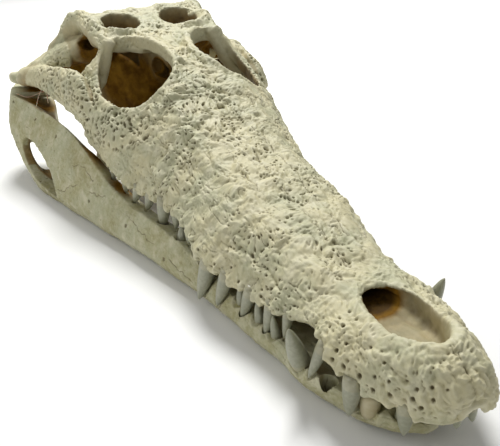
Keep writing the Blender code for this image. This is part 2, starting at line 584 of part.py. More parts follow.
def bone(name, colour, roughness):
    """Plain bone material."""
    material = bpy.data.materials.new(name)
    material.use_nodes = True
    shader = material.node_tree.nodes["Principled BSDF"]
    shader.inputs["Base Color"].default_value = (*colour, 1.0)
    shader.inputs["Roughness"].default_value = roughness
    shader.inputs["Metallic"].default_value = 0.0
    return material


def finish(made, material, parent):
    """Give a bone its material and shading, and hang it on the posing empty."""
    made.data.materials.clear()
    made.data.materials.append(material)
    made.data.shade_smooth()
    made.data.set_sharp_from_angle(angle=math.radians(40))
    made.parent = parent


def main():
    for old in list(bpy.data.objects):
        bpy.data.objects.remove(old)
    pose = bpy.data.objects.new("pose", None)
    bpy.context.scene.collection.objects.link(pose)
    pose.location = (0.0, REAR, LIFT)
    pose.rotation_euler = (PITCH, 0.0, 0.0)
    upper_bone = bone("pitted ivory bone", (0.62, 0.58, 0.42), 0.62)
    jaw_bone = bone("smooth olive bone", (0.50, 0.47, 0.34), 0.58)
    finish(make_cranium(), upper_bone, pose)
    finish(make_ramus("mandible_left", 1), jaw_bone, pose)
    finish(make_ramus("mandible_right", -1), jaw_bone, pose)


main()
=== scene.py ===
"""Looks of the crocodile skull: the bone of the cranium and of the lower jaw, the teeth, the dried
fibres at a jaw joint, and a studio around them.

Every shape is worked out level, in shares of DCL, with the snout tip at y = 0 and the edge of the
upper jaw at z = 0, and is tipped forward onto the floor when it goes into its mesh.
"""
import itertools
import math

import bpy
import numpy as np
from mathutils import Matrix, Vector


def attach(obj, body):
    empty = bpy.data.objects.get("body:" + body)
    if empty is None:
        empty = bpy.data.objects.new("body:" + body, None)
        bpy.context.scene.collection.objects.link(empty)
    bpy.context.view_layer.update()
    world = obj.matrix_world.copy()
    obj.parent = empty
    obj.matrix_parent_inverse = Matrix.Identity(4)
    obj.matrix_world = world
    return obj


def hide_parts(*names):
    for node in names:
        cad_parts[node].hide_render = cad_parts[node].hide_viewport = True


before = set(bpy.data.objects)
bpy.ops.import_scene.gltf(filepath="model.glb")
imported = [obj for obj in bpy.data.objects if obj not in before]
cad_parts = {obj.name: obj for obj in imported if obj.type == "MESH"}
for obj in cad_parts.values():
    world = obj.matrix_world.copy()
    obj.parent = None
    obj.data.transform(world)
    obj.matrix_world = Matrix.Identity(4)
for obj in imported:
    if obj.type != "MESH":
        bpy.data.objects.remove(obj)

bl_info = {
    "name": "Crocodile skull",
    "version": (1, 0, 0),
    "blender": (4, 5, 0),
    "location": "3D View > Sidebar > Skull",
    "description": "Builds a life-size crocodile skull with pitted bone, teeth and a studio",
    "category": "Add Mesh",
}

DCL = 0.400                # snout tip to the rear edge of the skull table, metres
PITCH = math.radians(6.3)  # the snout hangs this much when the lower jaw rests on the floor
LIFT = 0.0210              # height of the level skull's z = 0 at the snout tip, metres
REAR = -0.2333             # where the snout tip stands along y, metres
MM = 0.001 / DCL           # a millimetre as a share of DCL

# ---- sizes of the bones, in shares of DCL ----

# Upper jaw and cheek: y, half width, height of the lower edge
EDGE = np.array([
    (0.000, 0.022, 0.016), (0.008, 0.035, 0.011), (0.020, 0.045, 0.007), (0.050, 0.060, 0.003),
    (0.100, 0.077, -0.004), (0.140, 0.084, 0.003), (0.168, 0.077, 0.014), (0.200, 0.083, 0.002),
    (0.250, 0.095, -0.012), (0.300, 0.106, -0.019), (0.344, 0.116, -0.022),
    (0.385, 0.125, -0.026), (0.430, 0.123, -0.016), (0.480, 0.121, -0.010),
    (0.540, 0.132, -0.013), (0.600, 0.149, -0.022), (0.660, 0.164, -0.020),
    (0.740, 0.172, -0.010), (0.800, 0.180, 0.014), (0.860, 0.187, 0.026)])
# Roof of the snout and face: y, then its height at these shares of the half width
SHARES = np.array((0.0, 0.2, 0.4, 0.6, 0.8, 0.93, 1.0))
ROOF = np.array([
    (0.000, 0.040, 0.040, 0.039, 0.038, 0.035, 0.031),
    (0.008, 0.053, 0.053, 0.051, 0.047, 0.040, 0.032),
    (0.020, 0.061, 0.061, 0.058, 0.053, 0.041, 0.031),
    (0.050, 0.068, 0.068, 0.065, 0.056, 0.040, 0.028),
    (0.100, 0.060, 0.060, 0.057, 0.051, 0.038, 0.025),
    (0.140, 0.052, 0.052, 0.052, 0.048, 0.038, 0.027),
    (0.170, 0.045, 0.047, 0.049, 0.046, 0.037, 0.030),
    (0.200, 0.047, 0.049, 0.050, 0.044, 0.029, 0.017),
    (0.250, 0.053, 0.054, 0.053, 0.043, 0.022, 0.004),
    (0.300, 0.058, 0.059, 0.057, 0.045, 0.021, 0.000),
    (0.344, 0.063, 0.063, 0.061, 0.048, 0.022, -0.001),
    (0.400, 0.069, 0.069, 0.067, 0.053, 0.027, 0.005),
    (0.450, 0.074, 0.074, 0.072, 0.057, 0.032, 0.013),
    (0.500, 0.080, 0.081, 0.079, 0.062, 0.035, 0.015),
    (0.550, 0.088, 0.090, 0.089, 0.070, 0.038, 0.015),
    (0.600, 0.100, 0.104, 0.103, 0.081, 0.042, 0.011),
    (0.650, 0.118, 0.124, 0.119, 0.091, 0.049, 0.019),
    (0.720, 0.136, 0.147, 0.126, 0.098, 0.074, 0.046),
    (0.780, 0.142, 0.151, 0.140, 0.108, 0.081, 0.058),
    (0.860, 0.147, 0.152, 0.150, 0.136, 0.096, 0.070)])
ROOF_WALL, CHEEK_WALL = 0.022, 0.030         # bone over and beside the space of the eyes
EYE_SPACE = (0.640, 0.890)                   # where that space begins and ends along y
PALATE_STEP, EDGE_BAND = 0.012, 0.024        # the palate above its edges, and their width

# Openings in plan: centre x, y, half sizes across and along, turn
ORBIT = (0.083, 0.766, 0.0565, 0.0955, math.radians(6.3))
UPPER_FENESTRA = (0.059, 0.930, 0.038, 0.041, math.radians(-6))
NARIS = (0.0, 0.114, 0.032, 0.060, 0.0)
SUBORBITAL = (0.080, 0.640, 0.032, 0.110, math.radians(8))
# Blocks: y, half width, top, bottom
TABLE = np.array([
    (0.835, 0.098, 0.145, 0.121), (0.851, 0.113, 0.147, 0.121), (0.900, 0.120, 0.153, 0.125),
    (0.950, 0.123, 0.159, 0.123), (0.985, 0.124, 0.164, 0.120), (0.999, 0.122, 0.162, 0.120)])
BRAINCASE = np.array([
    (0.800, 0.014, 0.132, 0.088), (0.840, 0.022, 0.136, 0.060), (0.880, 0.032, 0.140, 0.020),
    (0.930, 0.042, 0.144, -0.010), (0.980, 0.050, 0.148, -0.028), (1.006, 0.047, 0.144, -0.026),
    (1.024, 0.036, 0.118, -0.012)])
OCCIPUT = np.array([(0.960, 0.100, 0.145, 0.078), (0.985, 0.116, 0.146, 0.072),
                    (1.010, 0.108, 0.134, 0.072)])
# Bars: x, y, z, half width, half height along each bar
TABLE_HORN = [(0.100, 0.945, 0.145, 0.016, 0.014), (0.107, 0.985, 0.145, 0.018, 0.020),
              (0.118, 1.016, 0.142, 0.018, 0.022), (0.134, 1.034, 0.120, 0.018, 0.020)]
POSTORBITAL = [
    (0.103, 0.866, 0.138, 0.018, 0.014), (0.110, 0.858, 0.115, 0.011, 0.012),
    (0.119, 0.850, 0.092, 0.010, 0.012), (0.135, 0.843, 0.072, 0.011, 0.012),
    (0.154, 0.836, 0.056, 0.012, 0.014)]
TEMPORAL_BAR = [
    (0.168, 0.795, 0.054, 0.014, 0.026), (0.174, 0.850, 0.064, 0.013, 0.036),
    (0.181, 0.905, 0.055, 0.012, 0.034), (0.191, 0.955, 0.051, 0.013, 0.029),
    (0.203, 1.000, 0.046, 0.016, 0.024), (0.217, 1.036, 0.039, 0.018, 0.021),
    (0.234, 1.062, 0.032, 0.019, 0.018)]
QUADRATE = [
    (0.080, 0.945, 0.106, 0.028, 0.026), (0.114, 0.982, 0.098, 0.032, 0.026),
    (0.146, 1.014, 0.083, 0.036, 0.024), (0.178, 1.038, 0.062, 0.040, 0.020),
    (0.204, 1.056, 0.044, 0.042, 0.017), (0.219, 1.066, 0.034, 0.040, 0.015)]
# A thin flange from the table's horn down to the jaw joint
HORN_WING = [(0.120, 1.016, 0.136, 0.014, 0.012), (0.136, 1.032, 0.118, 0.016, 0.014),
             (0.153, 1.041, 0.098, 0.018, 0.015), (0.169, 1.044, 0.079, 0.018, 0.014),
             (0.181, 1.044, 0.064, 0.016, 0.011)]
QUADRATE_WING = [(0.036, 0.895, 0.010, 0.026, 0.056), (0.074, 0.942, 0.034, 0.020, 0.064),
                 (0.106, 0.984, 0.060, 0.018, 0.048), (0.140, 1.012, 0.056, 0.016, 0.036),
                 (0.170, 1.034, 0.046, 0.014, 0.022)]
CONDYLE = [(0.178, 1.064, 0.026, 0.012, 0.012), (0.198, 1.069, 0.025, 0.015, 0.014),
           (0.217, 1.073, 0.027, 0.012, 0.012), (0.238, 1.076, 0.026, 0.016, 0.015),
           (0.254, 1.076, 0.029, 0.013, 0.013)]
PALATINE = [(0.0, 0.460, 0.036, 0.032, 0.018), (0.0, 0.560, 0.030, 0.030, 0.022),
            (0.0, 0.680, 0.022, 0.030, 0.022), (0.0, 0.780, 0.010, 0.040, 0.018),
            (0.0, 0.860, -0.004, 0.052, 0.018)]
PTERYGOID = [(0.0, 0.860, -0.006, 0.062, 0.014), (0.050, 0.852, -0.012, 0.058, 0.011),
             (0.092, 0.842, -0.030, 0.052, 0.010), (0.124, 0.836, -0.054, 0.046, 0.012),
             (0.140, 0.836, -0.078, 0.038, 0.012)]
ECTOPTERYGOID = [(0.146, 0.700, 0.028, 0.014, 0.016), (0.149, 0.752, 0.014, 0.013, 0.015),
                 (0.142, 0.795, -0.014, 0.013, 0.015), (0.134, 0.826, -0.048, 0.013, 0.014)]
PREFRONTAL_PILLAR = [(0.048, 0.662, 0.112, 0.016, 0.014), (0.034, 0.668, 0.070, 0.010, 0.010),
                     (0.026, 0.674, 0.026, 0.014, 0.012)]
TEMPORAL_BAR_ROLL, QUADRATE_ROLL = math.radians(-20), math.radians(12)
# Bars cut out: the passage behind the nostril's bowl, and the ear's recess under the table's edge
NOSE_PASSAGE = [(0.0, 0.146, 0.037, 0.026, 0.0065), (0.0, 0.170, 0.036, 0.025, 0.007),
                (0.0, 0.206, 0.031, 0.019, 0.009)]
EAR = [(0.110, 0.962, 0.108, 0.016, 0.007), (0.122, 0.955, 0.114, 0.022, 0.010),
       (0.142, 0.945, 0.124, 0.022, 0.011)]
# Where the cheek is a honeycomb: along the cheek bar and forward under the eye opening
CHEEK_COMB = [(0.112, 0.652, 0.074, 0, 0), (0.140, 0.684, 0.058, 0, 0),
              (0.160, 0.740, 0.050, 0, 0)] + TEMPORAL_BAR[:-2]
CALM = (0.150, 0.640, 0.000)                       # smoother bone above the rear teeth
# Balls: x, y, z, radius, stretch along y; the first is bone and the others are cut out, for the
# spinal cord, for the breath behind the palate and where the nerves of smell leave the braincase
NECK_CONDYLE = (0.0, 1.040, 0.034, 0.023, 1.0)
FORAMEN = (0.0, 1.030, 0.080, 0.017, 3.0)
CHOANA = (0.0, 0.895, -0.022, 0.017, 1.3)
OLFACTORY = (0.020, 0.826, 0.092, 0.017, 1.9)

# Lower jaw: y, top x and z, bulge x and z, foot x and z, inner x, width of the top and how steeply
# it falls inward
RAMUS = np.array([
    (0.034, 0.016, -0.022, 0.023, -0.029, 0.014, -0.038, 0.0005, 0.012, 0.30),
    (0.048, 0.035, -0.022, 0.040, -0.032, 0.028, -0.044, 0.0005, 0.029, 0.30),
    (0.070, 0.054, -0.023, 0.058, -0.037, 0.043, -0.052, 0.0005, 0.045, 0.30),
    (0.100, 0.066, -0.025, 0.070, -0.043, 0.055, -0.061, 0.0005, 0.048, 0.30),
    (0.146, 0.085, -0.026, 0.087, -0.044, 0.068, -0.068, 0.0005, 0.046, 0.30),
    (0.172, 0.091, -0.026, 0.095, -0.046, 0.074, -0.071, 0.008, 0.040, 0.30),
    (0.205, 0.086, -0.036, 0.093, -0.053, 0.076, -0.076, 0.020, 0.030, 0.30),
    (0.250, 0.091, -0.042, 0.101, -0.058, 0.084, -0.082, 0.034, 0.028, 0.30),
    (0.300, 0.097, -0.044, 0.109, -0.064, 0.092, -0.087, 0.046, 0.028, 0.30),
    (0.350, 0.104, -0.045, 0.117, -0.068, 0.100, -0.093, 0.058, 0.028, 0.30),
    (0.405, 0.113, -0.041, 0.128, -0.072, 0.110, -0.097, 0.072, 0.028, 0.30),
    (0.460, 0.124, -0.037, 0.142, -0.078, 0.124, -0.103, 0.088, 0.028, 0.30),
    (0.516, 0.137, -0.037, 0.157, -0.084, 0.140, -0.108, 0.104, 0.028, 0.30),
    (0.580, 0.151, -0.041, 0.176, -0.090, 0.158, -0.115, 0.122, 0.028, 0.30),
    (0.650, 0.168, -0.037, 0.196, -0.096, 0.179, -0.122, 0.140, 0.027, 0.30),
    (0.700, 0.181, -0.022, 0.211, -0.100, 0.196, -0.128, 0.154, 0.026, 0.50),
    (0.750, 0.190, -0.003, 0.224, -0.105, 0.210, -0.134, 0.166, 0.024, 0.80),
    (0.800, 0.195, 0.003, 0.238, -0.109, 0.224, -0.140, 0.176, 0.019, 1.40),
    (0.860, 0.205, 0.005, 0.254, -0.114, 0.240, -0.149, 0.184, 0.021, 1.50),
    (0.920, 0.218, 0.003, 0.268, -0.118, 0.254, -0.155, 0.192, 0.026, 1.25),
    (0.970, 0.232, 0.002, 0.276, -0.108, 0.256, -0.150, 0.196, 0.034, 1.00),
    (1.020, 0.250, 0.003, 0.281, -0.085, 0.254, -0.136, 0.190, 0.040, 0.80),
    (1.060, 0.264, 0.002, 0.279, -0.062, 0.250, -0.114, 0.180, 0.060, 0.50),
    (1.090, 0.262, -0.003, 0.272, -0.050, 0.246, -0.098, 0.180, 0.064, 0.30),
    (1.120, 0.250, -0.002, 0.256, -0.036, 0.238, -0.078, 0.188, 0.054, 0.30),
    (1.155, 0.238, 0.004, 0.243, -0.018, 0.230, -0.048, 0.198, 0.034, 0.30),
    (1.176, 0.230, 0.006, 0.233, -0.004, 0.224, -0.022, 0.206, 0.019, 0.30)])
JAW_FENESTRA = (0.900, -0.092, 0.086, 0.026, math.radians(-16))   # y, z, half sizes, turn
WINDOW_REACH = (0.215, 0.320)                                     # the x between which it is cut
# Bars cut out of it: the muscle space and its floor; then the bar of bone that bears the joint,
# and the joint's hollow, cut out of that
ADDUCTOR = [(0.172, 0.745, -0.058, 0.016, 0.026), (0.184, 0.800, -0.066, 0.026, 0.040),
            (0.195, 0.860, -0.074, 0.034, 0.050), (0.208, 0.920, -0.078, 0.038, 0.056),
            (0.220, 0.975, -0.082, 0.034, 0.050), (0.228, 1.010, -0.090, 0.024, 0.034)]
ADDUCTOR_ROLL = math.radians(-22)
JAW_FLOOR = [(0.230, 0.975, -0.132, 0.022, 0.026), (0.238, 1.005, -0.124, 0.020, 0.030),
             (0.242, 1.040, -0.112, 0.014, 0.026)]
ARTICULAR = [(0.190, 1.066, -0.006, 0.020, 0.013), (0.222, 1.070, -0.004, 0.022, 0.013),
             (0.256, 1.074, -0.002, 0.018, 0.012)]
GLENOID = [(0.170, 1.064, 0.024, 0.014, 0.014), (0.198, 1.069, 0.023, 0.018, 0.017),
           (0.217, 1.073, 0.025, 0.015, 0.015), (0.238, 1.076, 0.024, 0.019, 0.018),
           (0.266, 1.076, 0.027, 0.017, 0.017)]

# Teeth of one side: y, inset from the jaw's outline, length, radius, lean outward, lean backward,
# and 1 where the crown is worn blunt
UPPER_TEETH = [
    (0.012, 0.030, 0.016, 0.0055, 0.00, -0.25, 0), (0.042, 0.011, 0.033, 0.0090, -0.05, -0.15, 0),
    (0.097, 0.007, 0.041, 0.0110, 0.04, -0.13, 0), (0.146, 0.006, 0.044, 0.0075, 0.20, 0.10, 0),
    (0.220, 0.010, 0.037, 0.0065, 0.02, 0.03, 0), (0.250, 0.011, 0.045, 0.0085, 0.10, 0.00, 0),
    (0.290, 0.011, 0.047, 0.0090, 0.10, 0.20, 0), (0.338, 0.011, 0.052, 0.0105, 0.17, 0.14, 0),
    (0.378, 0.012, 0.062, 0.0125, 0.17, 0.09, 0), (0.405, 0.012, 0.019, 0.0065, 0.00, 0.20, 0),
    (0.450, 0.011, 0.027, 0.0080, 0.00, 0.12, 0), (0.502, 0.011, 0.030, 0.0085, 0.05, -0.08, 0),
    (0.535, 0.011, 0.044, 0.0115, 0.10, -0.08, 0), (0.574, 0.012, 0.030, 0.0085, 0.14, 0.20, 0),
    (0.608, 0.012, 0.028, 0.0085, 0.16, 0.18, 0), (0.641, 0.012, 0.025, 0.0080, 0.00, 0.16, 0),
    (0.686, 0.012, 0.022, 0.0075, 0.12, 0.00, 0)]
LOWER_TEETH = [
    (0.058, 0.011, 0.012, 0.0060, 0.00, -0.10, 0), (0.084, 0.007, 0.021, 0.0110, 0.10, 0.05, 1),
    (0.174, 0.005, 0.060, 0.0120, 0.41, -0.07, 0), (0.235, 0.005, 0.032, 0.0062, 0.20, 0.06, 0),
    (0.270, 0.005, 0.032, 0.0065, 0.16, 0.08, 0), (0.314, 0.006, 0.030, 0.0070, 0.14, 0.00, 0),
    (0.358, 0.011, 0.024, 0.0065, 0.00, 0.00, 0), (0.428, 0.012, 0.026, 0.0070, 0.02, 0.00, 0),
    (0.476, 0.013, 0.024, 0.0070, 0.00, 0.00, 0)]
TOOTH_ROOT = 0.012         # how far a crown goes down into the bone
TOOTH_ROOM = 0.0030        # room round each crown in the jaw that it reaches into
CROWN_FOOT = 0.055         # a crown's foot is coloured as it is this share of the way up
JAW_HOLES = [(0.954, -0.018), (1.046, -0.010), (0.860, -0.018), (1.010, -0.084),
             (0.700, -0.075), (0.590, -0.070), (0.480, -0.072)]     # y, z on the outer side
EMPTY_SOCKET = (0.073, 0.133, -0.025, 0.0110, 0.026)      # x, y, z, radius, depth

# ---- marks on the bone, in shares of DCL ----

# Sutures of one side as lines in plan: x, y; the first two are on the middle line
SUTURES = [
    [(0.000, 0.180), (0.001, 0.300), (-0.001, 0.420), (0.000, 0.600), (0.000, 0.660)],
    [(0.000, 0.000), (0.001, 0.045)],
    [(0.020, 0.178), (0.027, 0.240), (0.031, 0.330), (0.033, 0.430), (0.030, 0.520),
     (0.020, 0.590), (0.004, 0.640)],
    [(0.027, 0.215), (0.046, 0.228), (0.060, 0.200), (0.082, 0.176)],
    [(0.033, 0.500), (0.052, 0.560), (0.062, 0.610), (0.076, 0.660)],
    [(0.052, 0.560), (0.084, 0.560), (0.104, 0.600), (0.112, 0.668)],
    [(0.104, 0.600), (0.128, 0.640), (0.150, 0.700), (0.164, 0.800)],
    [(0.000, 0.858), (0.030, 0.862), (0.055, 0.880)]]
# Seams between the bones of the lower jaw, as lines on its outer side: y, z
JAW_SUTURES = [
    [(0.36, -0.075), (0.52, -0.062), (0.66, -0.052), (0.74, -0.060), (0.78, -0.090),
     (0.81, -0.100)],
    [(0.40, -0.105), (0.60, -0.108), (0.78, -0.116), (0.86, -0.135)],
    [(0.70, -0.040), (0.74, -0.028), (0.77, -0.036), (0.765, -0.052)],
    [(1.00, -0.110), (1.04, -0.070), (1.07, -0.030)]]
SEAM_EDGE, SEAM_DEEP = 0.60 * MM, 0.15 * MM    # half widths of a seam at its top and at its foot
# Nutrient holes of one side: y, how far above the jaw's edge, radius; and their depth in radii
HOLE_DEPTH = 1.4
EDGE_HOLES = [
    (0.019, 0.031, 0.0026), (0.015, 0.042, 0.0020), (0.026, 0.041, 0.0024), (0.024, 0.020, 0.0030),
    (0.035, 0.035, 0.0024), (0.033, 0.026, 0.0030), (0.036, 0.013, 0.0034), (0.053, 0.019, 0.0030),
    (0.059, 0.032, 0.0022), (0.074, 0.029, 0.0026), (0.070, 0.015, 0.0034), (0.073, 0.044, 0.0020),
    (0.088, 0.022, 0.0036), (0.096, 0.049, 0.0020), (0.108, 0.020, 0.0038), (0.124, 0.014, 0.0030),
    (0.119, 0.038, 0.0022), (0.123, 0.027, 0.0030), (0.136, 0.041, 0.0026), (0.149, 0.042, 0.0022),
    (0.150, 0.028, 0.0022), (0.214, 0.016, 0.0024), (0.236, 0.019, 0.0022), (0.262, 0.015, 0.0026),
    (0.283, 0.022, 0.0020), (0.306, 0.015, 0.0028), (0.330, 0.023, 0.0022), (0.352, 0.017, 0.0026),
    (0.392, 0.020, 0.0024), (0.424, 0.015, 0.0022), (0.462, 0.017, 0.0024), (0.498, 0.015, 0.0020),
    (0.545, 0.018, 0.0022), (0.600, 0.020, 0.0020)]
# Dents of one side: x, y, z, radius, depth in millimetres
DENTS = [
    (0.137, 0.712, 0.075, 0.014, 2.6), (0.118, 0.655, 0.078, 0.011, 1.8),
    (0.060, 0.395, 0.064, 0.013, 1.3), (0.040, 0.470, 0.076, 0.014, 1.2),
    (0.072, 0.300, 0.050, 0.012, 1.1), (0.040, 0.250, 0.053, 0.012, 1.0),
    (0.086, 0.470, 0.058, 0.014, 1.3), (0.104, 0.545, 0.052, 0.013, 1.2),
    (0.052, 0.560, 0.092, 0.012, 1.2)]
# Old stains: x (either side), y, z, radius, strength. Up to 1 they are brown stain; past 1 they turn
# dark brown, and where the mottling is strong nearly black, as painted shade in deep recesses and
# holes
STAINS_AND_SHADES = [
    (0.050, 0.780, 0.030, 0.150, 1.00), (0.060, 0.890, 0.040, 0.120, 1.00),
    (0.110, 0.930, 0.070, 0.070, 1.00), (0.059, 0.930, 0.105, 0.085, 0.95),
    (0.020, 0.826, 0.092, 0.030, 2.00), (0.108, 0.962, 0.106, 0.036, 1.45),
    (0.000, 0.210, 0.030, 0.070, 1.50), (0.002, 0.172, 0.029, 0.044, 1.55),
    (0.002, 0.160, 0.028, 0.085, 0.50), (0.000, 0.105, 0.031, 0.070, 0.38),
    (0.116, 0.945, 0.098, 0.036, 1.10), (0.142, 0.985, 0.060, 0.040, 1.00),
    (0.150, 1.010, 0.090, 0.080, 0.30), (0.070, 0.150, -0.004, 0.034, 1.00),
    (0.140, 0.660, -0.030, 0.045, 1.00), (0.176, 0.760, -0.040, 0.060, 1.10),
    (0.200, 1.030, 0.006, 0.060, 1.25), (0.210, 0.930, -0.070, 0.110, 0.90),
    (0.000, 0.500, -0.010, 0.100, 0.70), (0.000, 0.300, -0.030, 0.100, 0.70)]
# Metres below and above the smoothed bone where hollows have the most dirt and painted shade and
# ridges the most painted highlight
DIRT_AND_SHADE_DEPTH, HIGHLIGHT_HEIGHT = 0.00080, 0.00050
# Dried fibres at the right jaw joint: x, y, z
FIBRES = [
    [(-0.207, 1.008, 0.024), (-0.219, 0.990, 0.016), (-0.231, 0.966, 0.002)],
    [(-0.256, 1.050, 0.004), (-0.238, 1.030, 0.000), (-0.216, 1.020, 0.008),
     (-0.205, 1.010, 0.014)],
    [(-0.206, 0.982, 0.024), (-0.207, 0.966, 0.020), (-0.210, 0.949, 0.013)]]

# ---- the studio ----

# The photograph's camera: its place and a point that it looks at, in shares of DCL and for the
# level skull, its roll, its focal length and its picture's width in pixels
EYE, AIM = (-0.36954, -0.27503, 0.49291), (-0.03290, 0.41521, 0.0)
ROLL = math.radians(0.594)
FOCAL, PICTURE = 643.17, 500.0
SENSOR = 36.0              # width of its sensor, millimetres
# Lamps: name, place and size in metres, power as a share of the key's
LAMPS = (("key", (0.30, 0.78, 1.28), 0.6, 1.0), ("fill", (-1.2, 0.1, 1.1), 1.2, 0.16))
FLOOR_REACH = 4.0          # from the middle of the floor to its sides, metres


# ---- curves and surfaces ----

def curve(places, values, where):
    """Read a smooth curve through values at places. The slope at a place is the harmonic mean of
    the slopes beside it, or nought where they differ in sign, so the curve never overshoots."""
    places, values, where = (np.asarray(a, float) for a in (places, values, where))
    lead = (-1,) + (1,) * (values.ndim - 1)
    step = np.diff(places).reshape(lead)
    slope = np.diff(values, axis=0) / step
    before, after = slope[:-1], slope[1:]
    same_way = before * after > 0
    both = np.where(same_way, before + after, 1.0)
    middle = np.where(same_way, 2 * before * after / both, 0.0)
    tangent = np.concatenate((slope[:1], middle, slope[-1:]))
    k = np.clip(np.searchsorted(places, where) - 1, 0, len(places) - 2)
    width = step[k]
    t = (where - places[k]).reshape(lead) / width
    return (values[k] * (1 + 2 * t) * (1 - t) ** 2 + tangent[k] * width * t * (1 - t) ** 2
            + values[k + 1] * t * t * (3 - 2 * t) - tangent[k + 1] * width * t * t * (1 - t))


def through(rows, where):
    """Read rows of (place, a, b, ...) at the places where."""
    return curve(rows[:, 0], rows[:, 1:], where)


def stations(rows, most=0.008):
    """Places along rows, at most this far apart, that keep the rows' own places."""
    places = rows[:, 0]
    counts = np.maximum(1, np.ceil(np.diff(places) / most)).astype(int)
    return np.concatenate([np.linspace(a, b, n, endpoint=False)
                           for a, b, n in zip(places, places[1:], counts)] + [places[-1:]])


def roof_heights(y):
    """Heights of the roof at each of SHARES (first axis) for each y."""
    low = through(EDGE, y)[:, 1]
    return np.column_stack((through(ROOF, y), low + 0.010)).T


def roof_at(x, y):
    """Height of the roof at points x, y: the section at y is read at the share of its half width."""
    y = np.clip(y, 0.0, 0.860)
    half = through(EDGE, y)[:, 0]
    fine = curve(SHARES, roof_heights(y), np.linspace(0, 1, 81))
    place = np.clip(np.abs(x) / half, 0, 1) * 80
    k = np.minimum(place.astype(int), 79)
    each = np.arange(len(y))
    return fine[k, each] * (1 - (place - k)) + fine[k + 1, each] * (place - k)


def face_rings(y):
    """Sections of the snout and face, rings by points by 3: up one side of the section, over the
    roof and down the other, and back along the palate between the tooth-bearing edges."""
    half, low = through(EDGE, y).T
    band = np.minimum(EDGE_BAND, 0.45 * half)
    shares = np.concatenate((np.linspace(0, 0.9, 31)[1:], (0.93, 0.96, 0.985)))
    heights = roof_heights(y)
    x = list(np.outer(shares, half))
    z = list(curve(SHARES, heights, shares))
    crown = heights[0]
    step = np.minimum(PALATE_STEP, 0.35 * (crown - low))
    x += [half, half - 0.003, half - 0.010, half - band, half - 1.35 * band, 0.3 * half]
    z += [low + 0.010, low + 0.002, low - 0.001, low + 0.001, low + step, low + 1.15 * step]
    x, z = np.array(x), np.array(z)
    nought = np.zeros_like(y)[None]
    x = np.concatenate((nought, -x, nought, x[::-1]))
    z = np.concatenate((crown[None], z, z[-1:], z[::-1]))
    return np.stack((x, np.broadcast_to(y, x.shape), z), -1).swapaxes(0, 1)


def bar_rings(path, roll=0.0, sides=20, parts=8):
    """An oval tube: at each stop along the path an ellipse across it, half width by half height,
    rolled about the path, with three smaller rings beyond each end that round it off."""
    path = np.array(path)
    spine = curve(np.arange(len(path)), path, np.linspace(0, len(path) - 1,
                                                          parts * (len(path) - 1) + 1))
    places, wide, high = spine[:, :3], spine[:, 3:4], spine[:, 4:]
    along = np.diff(places[np.r_[0, 0:len(places), len(places) - 1]], axis=0)
    along = along[1:] + along[:-1]
    along /= np.linalg.norm(along, axis=1)[:, None]
    across = np.cross(along, (0, 0, 1))
    steep = np.linalg.norm(across, axis=1)[:, None] < 0.35
    across = np.where(steep, np.array((1, 0, 0)) - along * along[:, :1], across)
    across /= np.linalg.norm(across, axis=1)[:, None]
    up = np.cross(across, along)
    across, up = (across * math.cos(roll) - up * math.sin(roll),
                  up * math.cos(roll) + across * math.sin(roll))
    angle = np.linspace(0, 2 * math.pi, sides, endpoint=False)[None, :, None]
    rings = (across * wide)[:, None] * np.cos(angle) + (up * high)[:, None] * np.sin(angle)
    rings = rings + places[:, None]

    def beyond(end, way):
        return [places[end] + way * high[end] * reach + (rings[end] - places[end]) * size
                for reach, size in ((0.30, 0.88), (0.50, 0.66), (0.62, 0.36))]
    first, last = beyond(0, -along[0]), beyond(-1, along[-1])
    return np.concatenate((np.array(first[::-1]), rings, np.array(last)))


def block_rings(rows, corner):
    """A block of eight-sided sections: rows of y, half width, top and bottom, corners taken off."""
    y, half, top, bottom = through(np.column_stack((rows[:, 0], rows)), stations(rows, 0.01)).T
    cut = corner * np.minimum(half, 0.5 * (top - bottom))
    x = np.array((half - cut, half, half, half - cut))
    z = np.array((top, top - cut, bottom + cut, bottom))
    x, z = np.concatenate((-x, x[::-1])), np.concatenate((z, z[::-1]))
    return np.stack((x, np.broadcast_to(y, x.shape), z), -1).swapaxes(0, 1)


def oval(opening, sides):
    """Points x, y round an oval of half sizes across and along, turned about its centre."""
    x, y, wide, long, turn = opening
    angle = np.linspace(0, 2 * math.pi, sides, endpoint=False)
    across, along = wide * np.cos(angle), long * np.sin(angle)
    return (x + across * math.cos(turn) + along * math.sin(turn),
            y + along * math.cos(turn) - across * math.sin(turn))


def upright(opening, levels, sides=48):
    """An upright shaft: at each height the oval, its half sizes multiplied."""
    x, y, wide, long, turn = opening
    return np.array([
        np.column_stack((*oval((x, y, wide * size, long * size, turn), sides), np.full(sides, z)))
        for z, size in levels])


def ball_rings(x, y, z, radius, stretch=1.0):
    """A ball of 15 rings from pole to pole, longer along y by stretch."""
    polar = np.linspace(0, math.pi, 17)[1:-1, None]
    angle = np.linspace(0, 2 * math.pi, 24, endpoint=False)[None]
    return np.stack((x + radius * np.sin(polar) * np.cos(angle),
                     y + stretch * radius * np.sin(polar) * np.sin(angle),
                     np.broadcast_to(z + radius * np.cos(polar), (15, 24))), -1)


